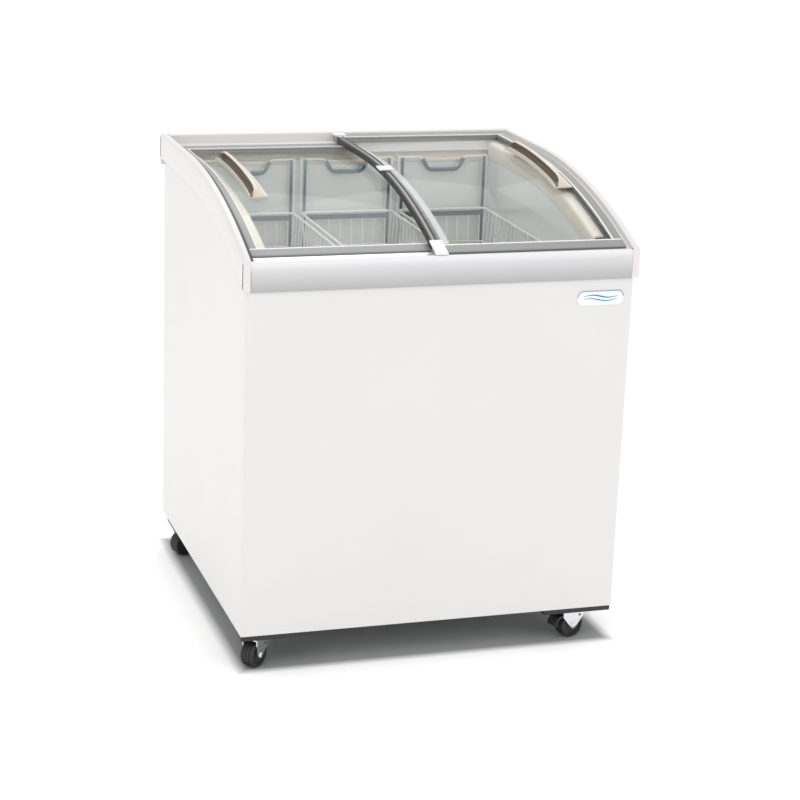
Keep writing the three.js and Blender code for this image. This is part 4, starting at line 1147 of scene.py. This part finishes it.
def addBasket(name):
    low, high = boxOf(f"{name}_basket")
    middle = (low.x + high.x) / 2
    half = (high.x - low.x) / 2
    front, rear = tankSpan["front"] + basket["wallGap"], tankSpan["rear"] - basket["wallGap"]
    rim, floor = tankSpan["rim"], low.z
    wire = basket["rimWire"]
    meshWire = basket["meshWire"]

    def lean(z):
        return basket["taper"] * (rim - z) / (rim - floor)

    def hoop(z, inset=0.0):
        shrink = lean(z) + inset
        plan = rounded([(-half + shrink, front + shrink), (half - shrink, front + shrink),
                        (half - shrink, rear - shrink), (-half + shrink, rear - shrink)], basket["corner"], 5)
        return [(middle + a, b, z) for a, b in plan]

    shape = bmesh.new()
    addWires(shape, [hoop(rim - wire, wire)], wire, "coatedWire", 0, 8, True)
    hoops = [hoop(floor + 2 + (rim - floor - 20) * step / basket["hoops"], meshWire * 3 + wire)
             for step in range(basket["hoops"])]
    addWires(shape, hoops, meshWire * 1.25, "coatedWire", 0, 6, True)
    inset = wire + meshWire
    bottom = floor + meshWire
    foot = lean(bottom) + inset
    paths = []
    across = half - basket["corner"]
    count = round(2 * across / basket["pitch"])
    for index in range(count + 1):
        x = -across + 2 * across * index / count
        paths.append(bent([(middle + x, front + inset, rim - wire), (middle + x, front + foot, bottom),
                           (middle + x, rear - foot, bottom), (middle + x, rear - inset, rim - wire)], 8))
    along = (rear - front) / 2 - basket["corner"]
    centreY = (front + rear) / 2
    count = round(2 * along / basket["pitch"])
    for index in range(count + 1):
        y = centreY - along + 2 * along * index / count
        paths.append(bent([(middle - half + inset, y, rim - wire),
                           (middle - half + foot, y, bottom + 2 * meshWire),
                           (middle + half - foot, y, bottom + 2 * meshWire),
                           (middle + half - inset, y, rim - wire)], 8))
    addWires(shape, paths, meshWire, "coatedWire", 0, 6)
    # flat strip just under the rear rim, in the painted-shade blue-grey
    top = rim - basket["stripDrop"]
    bottomZ = top - basket["stripHeight"]
    yTop, yLow = rear - lean(top) - wire - 2.4 * meshWire, rear - lean(bottomZ) - wire - 2.4 * meshWire
    strip = [(yTop, top), (yLow, bottomZ), (yLow + 1.6, bottomZ), (yTop + 1.6, top)]
    alongX(shape, strip, middle - half + 9, middle + half - 9, 1)
    # hangers: a pair of uprights at each rear corner, hooked over the rear ledge, and short ones in front
    hookTop = high.z - wire
    uprights = []
    for side in (-1, 1):
        x = middle + side * (half - wire)
        uprights.append(bent([(x, rear - 1, rim - 40), (x, rear - 1, hookTop),
                              (x, tankSpan["rear"] + 4.5, hookTop)], 5))
        uprights.append(bent([(x, front + 1, rim - 22), (x, front + 1, tankSpan["frontHook"] - wire),
                              (x, tankSpan["front"] - 4.5, tankSpan["frontHook"] - wire)], 4))
    addWires(shape, uprights, wire * 0.92, "coatedWire", 0, 8)
    # the rear grip: a bar that dips between the uprights, with a sleeve in the painted-shade blue-grey
    gripTop, gripBottom, dip = basket["gripTop"], basket["gripBottom"], basket["gripDip"]
    barY = rear - 1
    bar = [(middle - half + wire, barY, hookTop), (middle - gripTop, barY, hookTop),
           (middle - gripBottom, barY, hookTop - dip),
           (middle + gripBottom, barY, hookTop - dip), (middle + gripTop, barY, hookTop),
           (middle + half - wire, barY, hookTop)]
    addWires(shape, [bent(bar[:3], 5)[:-1] + bent(bar[1:5], 6)[4:-4] + bent(bar[3:], 5)[1:]], wire * 0.8,
             "coatedWire", 0, 8)
    grip = bent([(middle - gripTop + 3, barY, hookTop - 4), (middle - gripBottom, barY, hookTop - dip),
                 (middle + gripBottom, barY, hookTop - dip), (middle + gripTop - 3, barY, hookTop - 4)], 9, 5)
    addWires(shape, [grip], basket["gripRadius"], "shadedHangerWire", 1, 12)
    # broad corner uprights behind, in the painted-shade blue-grey
    for side in (-1, 1):
        x = middle + side * (half - 9)
        boxShape(shape, (x - 2.6, rear - 5.2, rim - 170), (x + 2.6, rear - 3.8, hookTop), 1)
    addFor(f"{name}_basket", shape, ["coatedWire", "shadedHangerWire"], f"{name}_basket")


for basketName in ("left", "middle", "right"):
    addBasket(basketName)
print("baskets done")


# ---- casters ----
caster = {"trail": 24.0, "radius": 24.0, "width": 26.0, "crownLow": 51.7, "crownHigh": 54.2, "leg": 2.2,
          "gap": 1.2,
          "stem": 6.0, "axle": 4.0, "stemX": 305.0, "stemFront": -303.0, "stemRear": 262.0}
casterTurns = {"front_left": -50, "front_right": -75, "rear_left": -70, "rear_right": -20}
brakedCasters = ("front_right", "rear_right")


def addCaster(name):
    low, high = boxOf(f"{name}_corner_plate")
    stemX = math.copysign(caster["stemX"], low.x)
    stemY = caster["stemFront"] if name.startswith("front") else caster["stemRear"]
    at = Matrix.Translation((stemX, stemY, 0)) @ Matrix.Rotation(math.radians(casterTurns[name]), 4, "Z")
    plain = camel(name)
    # corner plate, with its screws
    shape = bmesh.new()
    outline = rounded([(low.x, low.y), (high.x, low.y), (high.x, high.y), (low.x, high.y)], 5, 4)
    skin(shape, [[(x, y, z) for x, y in outline] for z in (low.z, high.z)])
    addFor(f"{name}_corner_plate", shape, ["blackSteel"], "cabinet", 0.8)
    facing = Matrix.Rotation(math.radians(90), 4, "X")
    places = [(x, y, low.z) for x in (low.x + 9, high.x - 9) for y in (low.y + 9, high.y - 9)]
    addScrews(f"{plain}PlateScrews", places, "chrome", "cabinet", facing)
    # fork: a pressed crown with two legs and a riveted axle
    outer = caster["width"] / 2 + caster["gap"] + caster["leg"]
    inner = outer - caster["leg"]
    trail, radius = caster["trail"], caster["radius"]
    reach = trail + (radius if name in brakedCasters else radius / 2)
    top, under = caster["crownHigh"], caster["crownLow"]
    shape = bmesh.new()
    plan = rounded([(-outer, -reach, 3), (outer, -reach, 3), (outer, 6, 8), (outer * 0.6, 15, 8),
                    (-outer * 0.6, 15, 8),
                    (-outer, 6, 8)], steps=5)
    skin(shape, [[(x, y, z) for x, y in plan] for z in (under, top)])
    leg = rounded([(8, top - 0.3, 2), (-reach, top - 0.3, 2), (-reach, top - 11, 3), (-trail - 8, radius, 3),
                   (-trail, radius - 9, 7), (-trail + 8, radius, 3)], steps=4)
    for side in (-1, 1):
        alongX(shape, leg, *sorted((side * inner, side * outer)))
        across = Matrix.Translation((side * (outer - 0.2), -trail,
                                     radius)) @ Matrix.Rotation(side * math.pi / 2, 4, "Y")
        lathe(shape, [(5.8, 0), (5.8, 1.0), (4.6, 2.0), (2.2, 2.4), (0.01, 2.5)], 18, across)
        hole = Matrix.Translation((side * outer, -trail * 0.45,
                                   under - 8)) @ Matrix.Rotation(side * math.pi / 2, 4, "Y")
        lathe(shape, [(2.6, -0.3), (2.6, 0.25), (1.8, 0.3), (0.01, 0.3)], 14, hole, 1)
    lathe(shape, [(caster["axle"], -outer), (caster["axle"], outer)], 20,
          Matrix.Translation((0, -trail, radius)) @ Matrix.Rotation(math.pi / 2, 4, "Y"))
    lathe(shape, [(caster["stem"], under), (caster["stem"], 65.9)], 20, Matrix.Identity(4))
    lathe(shape, [(13.5, top - 0.1), (13.2, top + 0.5), (8, top + 0.6)], 28, Matrix.Identity(4))
    shape.transform(at)
    addFor(f"{name}_fork", shape, ["chrome", "blackPlastic"], f"{name}_swivel", 0.5)
    # wheel: three grooves round the tread and a stepped hub
    half = caster["width"] / 2
    bore = caster["axle"] + 0.4
    profile = [(bore, -half), (9.2, -half), (9.8, -half + 0.6), (10.2, -half + 2.6), (17.2, -half + 2.6),
               (18.2, -half + 0.4), (21.6, -half), (23.2, -half + 0.9), (24, -half + 2.6)]
    for centre in (-6.2, 0.0, 6.2):
        profile += [(24, centre - 1.3), (23.6, centre - 0.9), (22.8, centre - 0.6), (22.8, centre + 0.6),
                    (23.6, centre + 0.9), (24, centre + 1.3)]
    profile += [(r, -h) for r, h in profile[8::-1]]
    shape = bmesh.new()
    place = Matrix.Translation((0, -trail, radius)) @ Matrix.Rotation(math.pi / 2, 4, "Y")
    sides = 56
    rings = [[place @ Vector((r * math.cos(2 * math.pi * i / sides), r * math.sin(2 * math.pi * i / sides),
                              h))
              for i in range(sides)] for r, h in profile]
    faces = skin(shape, rings + [rings[0]], capped=False)
    for index, face in enumerate(faces):
        ring = index // sides
        face.material_index = 1 if ring < 4 or ring >= len(profile) - 5 else 0
    shape.transform(at)
    addFor(f"{name}_wheel", shape, ["wheelRubber", "blackPlastic"], f"{name}_roller",
             sharp=30)
    if name in brakedCasters:
        addPedal(name, plain, at)


def addPedal(name, plain, at):
    reach = caster["width"] / 2 + 0.2
    y, z = -caster["trail"] - caster["radius"] + 3, 2 * caster["radius"] - 4
    outline = rounded([(-2, 3, 1), (-11, 0, 4), (-16, -8, 4), (-18, -18, 1), (-15, -18, 1), (-13, -9, 4),
                       (-9, -3.5, 3),
                       (-2, -2, 1), (3, -1.5, 1), (3, 2.6, 1)])
    shape = bmesh.new()
    alongX(shape, [(y + a, z + b) for a, b in outline], -reach, reach)
    for index in range(4):
        x = -reach + 4 + index * (2 * reach - 8) / 3
        alongX(shape, rounded([(y - 13.2, z - 1.2), (y - 14.4, z - 2.6), (y - 17.4, z - 9),
                               (y - 16.2, z - 9)], 0.3),
               x - 0.8, x + 0.8)
    shape.transform(at)
    addFor(f"{name}_brake_pedal", shape, ["blackPlastic"], f"{name}_brake", 0.5)


for casterName in casterTurns:
    addCaster(casterName)
print("casters done")


# ---- machine bay ----
louvre = {"rows": 9, "pitch": 16.0, "length": 150.0, "hood": 4.0, "height": 7.0, "centres": (0.0, 175.0),
          "first": 50.0}
knob = {"ridges": 24, "digits": 6}


def addLouvres():
    # Pressed hoods over the cover's slots.
    low, high = boxOf("rear_cover")
    shape = bmesh.new()
    rings = []
    steps = 6
    halfLength = louvre["length"] / 2 + 2
    for x, out in ((-halfLength, 0.05), (-halfLength + 3, 0.8), (-halfLength + 7, 1.0), (halfLength - 7, 1.0),
                   (halfLength - 3, 0.8), (halfLength, 0.05)):
        arc = [(louvre["hood"] * out * math.sin(math.pi / 2 * s / steps),
                louvre["height"] * math.cos(math.pi / 2 * s / steps))
               for s in range(steps + 1)]
        back = [(y - 0.7 if y > 0.7 else 0.0, z - 0.4) for y, z in arc[::-1]]
        rings.append([(x, y, z) for y, z in arc + back])
    skin(shape, rings)
    bmesh.ops.recalc_face_normals(shape, faces=shape.faces)
    hood = meshObject("hood", shape)
    floor = boxOf("base_pan")[1].z + 0.3
    places = [(centre, high.y, floor + louvre["first"] + row * louvre["pitch"])
              for centre in louvre["centres"] for row in range(louvre["rows"])]
    shape = bmesh.new()
    grow(shape, "repeat", {"Shape": hood, "Spin": 0.0, "Seed": 1, "Finish": finishes["whiteSteel"]},
         lineMesh([[place] for place in places]))
    addPiece("coverLouvres", shape, ["whiteSteel"], "cabinet", sharp=40)
    behind = Matrix.Rotation(math.pi, 4, "Z")
    corners = [(x, high.y, z) for x in (low.x + 10, 0, high.x - 10) for z in (low.z + 10, high.z - 10)]
    addScrews("coverScrews", corners, "chrome", "cabinet", behind)
    panelLow, panelHigh = boxOf("rear_panel")
    corners = [(x, panelHigh.y, z) for x in (panelLow.x + 14, 0, panelHigh.x - 14)
               for z in (panelLow.z + 12, panelHigh.z - 14)]
    addScrews("panelScrews", corners, "whiteSteel", "cabinet", behind)


def addControls():
    low, high = boxOf("thermostat_knob")
    centre = Vector(((low.x + high.x) / 2, 0, (low.z + high.z) / 2))
    base = high.y - 12.4
    out = Matrix.Translation((centre.x, base, centre.z)) @ Matrix.Rotation(-math.pi / 2, 4, "X")
    shape = bmesh.new()
    sides = knob["ridges"] * 4
    rings = []
    for radius, height, ridge in ((15.6, 0, 0), (16, 0.6, 0), (16, 2.4, 0), (13.4, 3.2, 0), (12.6, 4.2, 0.5),
                                  (12.0, 10.4, 0.5),
                                  (11.2, 11.4, 0.2), (9.0, 11.6, 0), (0.02, 11.6, 0)):
        rings.append([out @ Vector(((radius - ridge * (i % 4 in (0, 1))) * math.cos(2 * math.pi * i / sides),
                                    (radius - ridge * (i % 4 in (0, 1))) * math.sin(2 * math.pi * i / sides),
                                    height))
                      for i in range(sides)])
    skin(shape, rings)
    boxShape(shape, (centre.x - 1.1, base + 11.4, centre.z + 2),
             (centre.x + 1.1, base + 12.3, centre.z + 11.4), 1)
    lathe(shape, [(3.6, -14), (3.6, 0.5)], 20, out)
    addFor("thermostat_knob", shape, ["blackPlastic", "badgeWhite"], "thermostat",
             sharp=30)
    addDial(centre, boxOf("rear_cover")[1].y)
    low, high = boxOf("power_switch")
    middleX = (low.x + high.x) / 2
    pivotZ = (low.z + high.z) / 2
    repaint("power_switch", "blackPlastic")
    coverFace = boxOf("rear_cover")[1].y
    shape = bmesh.new()
    frameOuter = rounded([(middleX - 18, pivotZ - 15), (middleX + 18, pivotZ - 15),
                          (middleX + 18, pivotZ + 15),
                          (middleX - 18, pivotZ + 15)], 3, 4)
    frameInner = rounded([(middleX - 13.4, pivotZ - 11), (middleX + 13.4, pivotZ - 11),
                          (middleX + 13.4, pivotZ + 11),
                          (middleX - 13.4, pivotZ + 11)], 1, 4)
    rings = [[(x, coverFace, z) for x, z in frameOuter], [(x, coverFace + 1.4, z) for x, z in frameOuter],
             [(x, coverFace + 1.6, z) for x, z in frameInner], [(x, coverFace, z) for x, z in frameInner]]
    skin(shape, rings + [rings[0]], capped=False)
    addPiece("switchBezel", shape, ["blackPlastic"], "cabinet", sharp=30)
    repaint("cord_gland", "blackPlastic")


def addDial(centre, face):
    # Printed marks and figures round the knob.
    shape = bmesh.new()
    for index in range(knob["digits"] + 1):
        angle = math.radians(225 - 270 * index / knob["digits"])
        along = Vector((-math.cos(angle), 0, math.sin(angle)))
        side = Vector((along.z, 0, -along.x))
        middle = Vector((centre.x, face, centre.z)) + along * 20.5
        ring = [middle + along * a * 1.8 + side * b * 0.45 for a, b in ((-1, -1), (1, -1), (1, 1), (-1, 1))]
        skin(shape, [[(p.x, face - 0.02, p.z) for p in ring], [(p.x, face + 0.12, p.z) for p in ring]])
        text = bpy.data.curves.new("figure", "FONT")
        text.body, text.size, text.align_x, text.align_y = str(index), 7.0, "CENTER", "CENTER"
        text.extrude = 0.06
        writer = linked(bpy.data.objects.new("figure", text))
        graph = bpy.context.evaluated_depsgraph_get()
        made = bpy.data.meshes.new_from_object(writer.evaluated_get(graph), depsgraph=graph)
        spot = Vector((centre.x, face + 0.06, centre.z)) + along * 27
        made.transform(Matrix.Translation(spot) @ Matrix.Rotation(math.pi, 4,
                "Z") @ Matrix.Rotation(math.pi / 2, 4, "X"))
        bpy.data.objects.remove(writer)
        shape.from_mesh(made)
        bpy.data.meshes.remove(made)
    addPiece("dialMarks", shape, ["blackPlastic"], "cabinet")


def addMachines():
    # Compressor shell, smoother than its plain solid.
    low, high = boxOf("compressor")
    at = Matrix.Translation(((low.x + high.x) / 2, (low.y + high.y) / 2, low.z))
    radius, tall = (high.x - low.x) / 2 - 12, high.z - low.z
    shape = bmesh.new()
    lathe(shape, [(0.02, 8), (radius * 0.72, 8), (radius * 0.92, 16), (radius, 32), (radius, tall * 0.5),
                  (radius + 2.8, tall * 0.505), (radius + 2.8, tall * 0.555), (radius, tall * 0.56),
                  (radius, tall * 0.8),
                  (radius * 0.97, tall * 0.87), (radius * 0.86, tall * 0.94), (radius * 0.5, tall),
                  (0.02, tall)], 56, at)
    boxShape(shape, (low.x, low.y + 14, low.z), (high.x, high.y - 14, low.z + 9))
    addPiece("compressorShell", shape, ["blackSteel"], "cabinet", ["compressor"], sharp=30)
    low, high = boxOf("condenser")
    shape = bmesh.new()
    boxShape(shape, (0, low.y, low.z), (0.5, high.y, high.z))
    fin = meshObject("fin", shape)
    fins = 46
    xs = [low.x + 8 + (high.x - low.x - 16.5) * index / (fins - 1) for index in range(fins)]
    shape = bmesh.new()
    grow(shape, "repeat", {"Shape": fin, "Spin": 0.0, "Seed": 1, "Finish": finishes["blackSteel"]},
         lineMesh([[(x, 0, 0)] for x in xs]))
    tubes = []
    for row in range(5):
        z = low.z + 16 + row * (high.z - low.z - 32) / 4
        tubes.append([(low.x, (low.y + high.y) / 2, z), (high.x, (low.y + high.y) / 2, z)])
    addWires(shape, tubes, 4.0, "copper", 1, 12)
    addPiece("condenserFins", shape, ["blackSteel", "copper"], "cabinet", ["condenser"])
    for node, finishName in (("fan_shroud", "blackSteel"), ("fan_blade", "blackPlastic"),
                             ("fan_motor", "motorSteel"),
                             ("rear_cover", "whiteSteel")):
        repaint(node, finishName)


addLouvres()
addControls()
addMachines()
print("machine bay done")
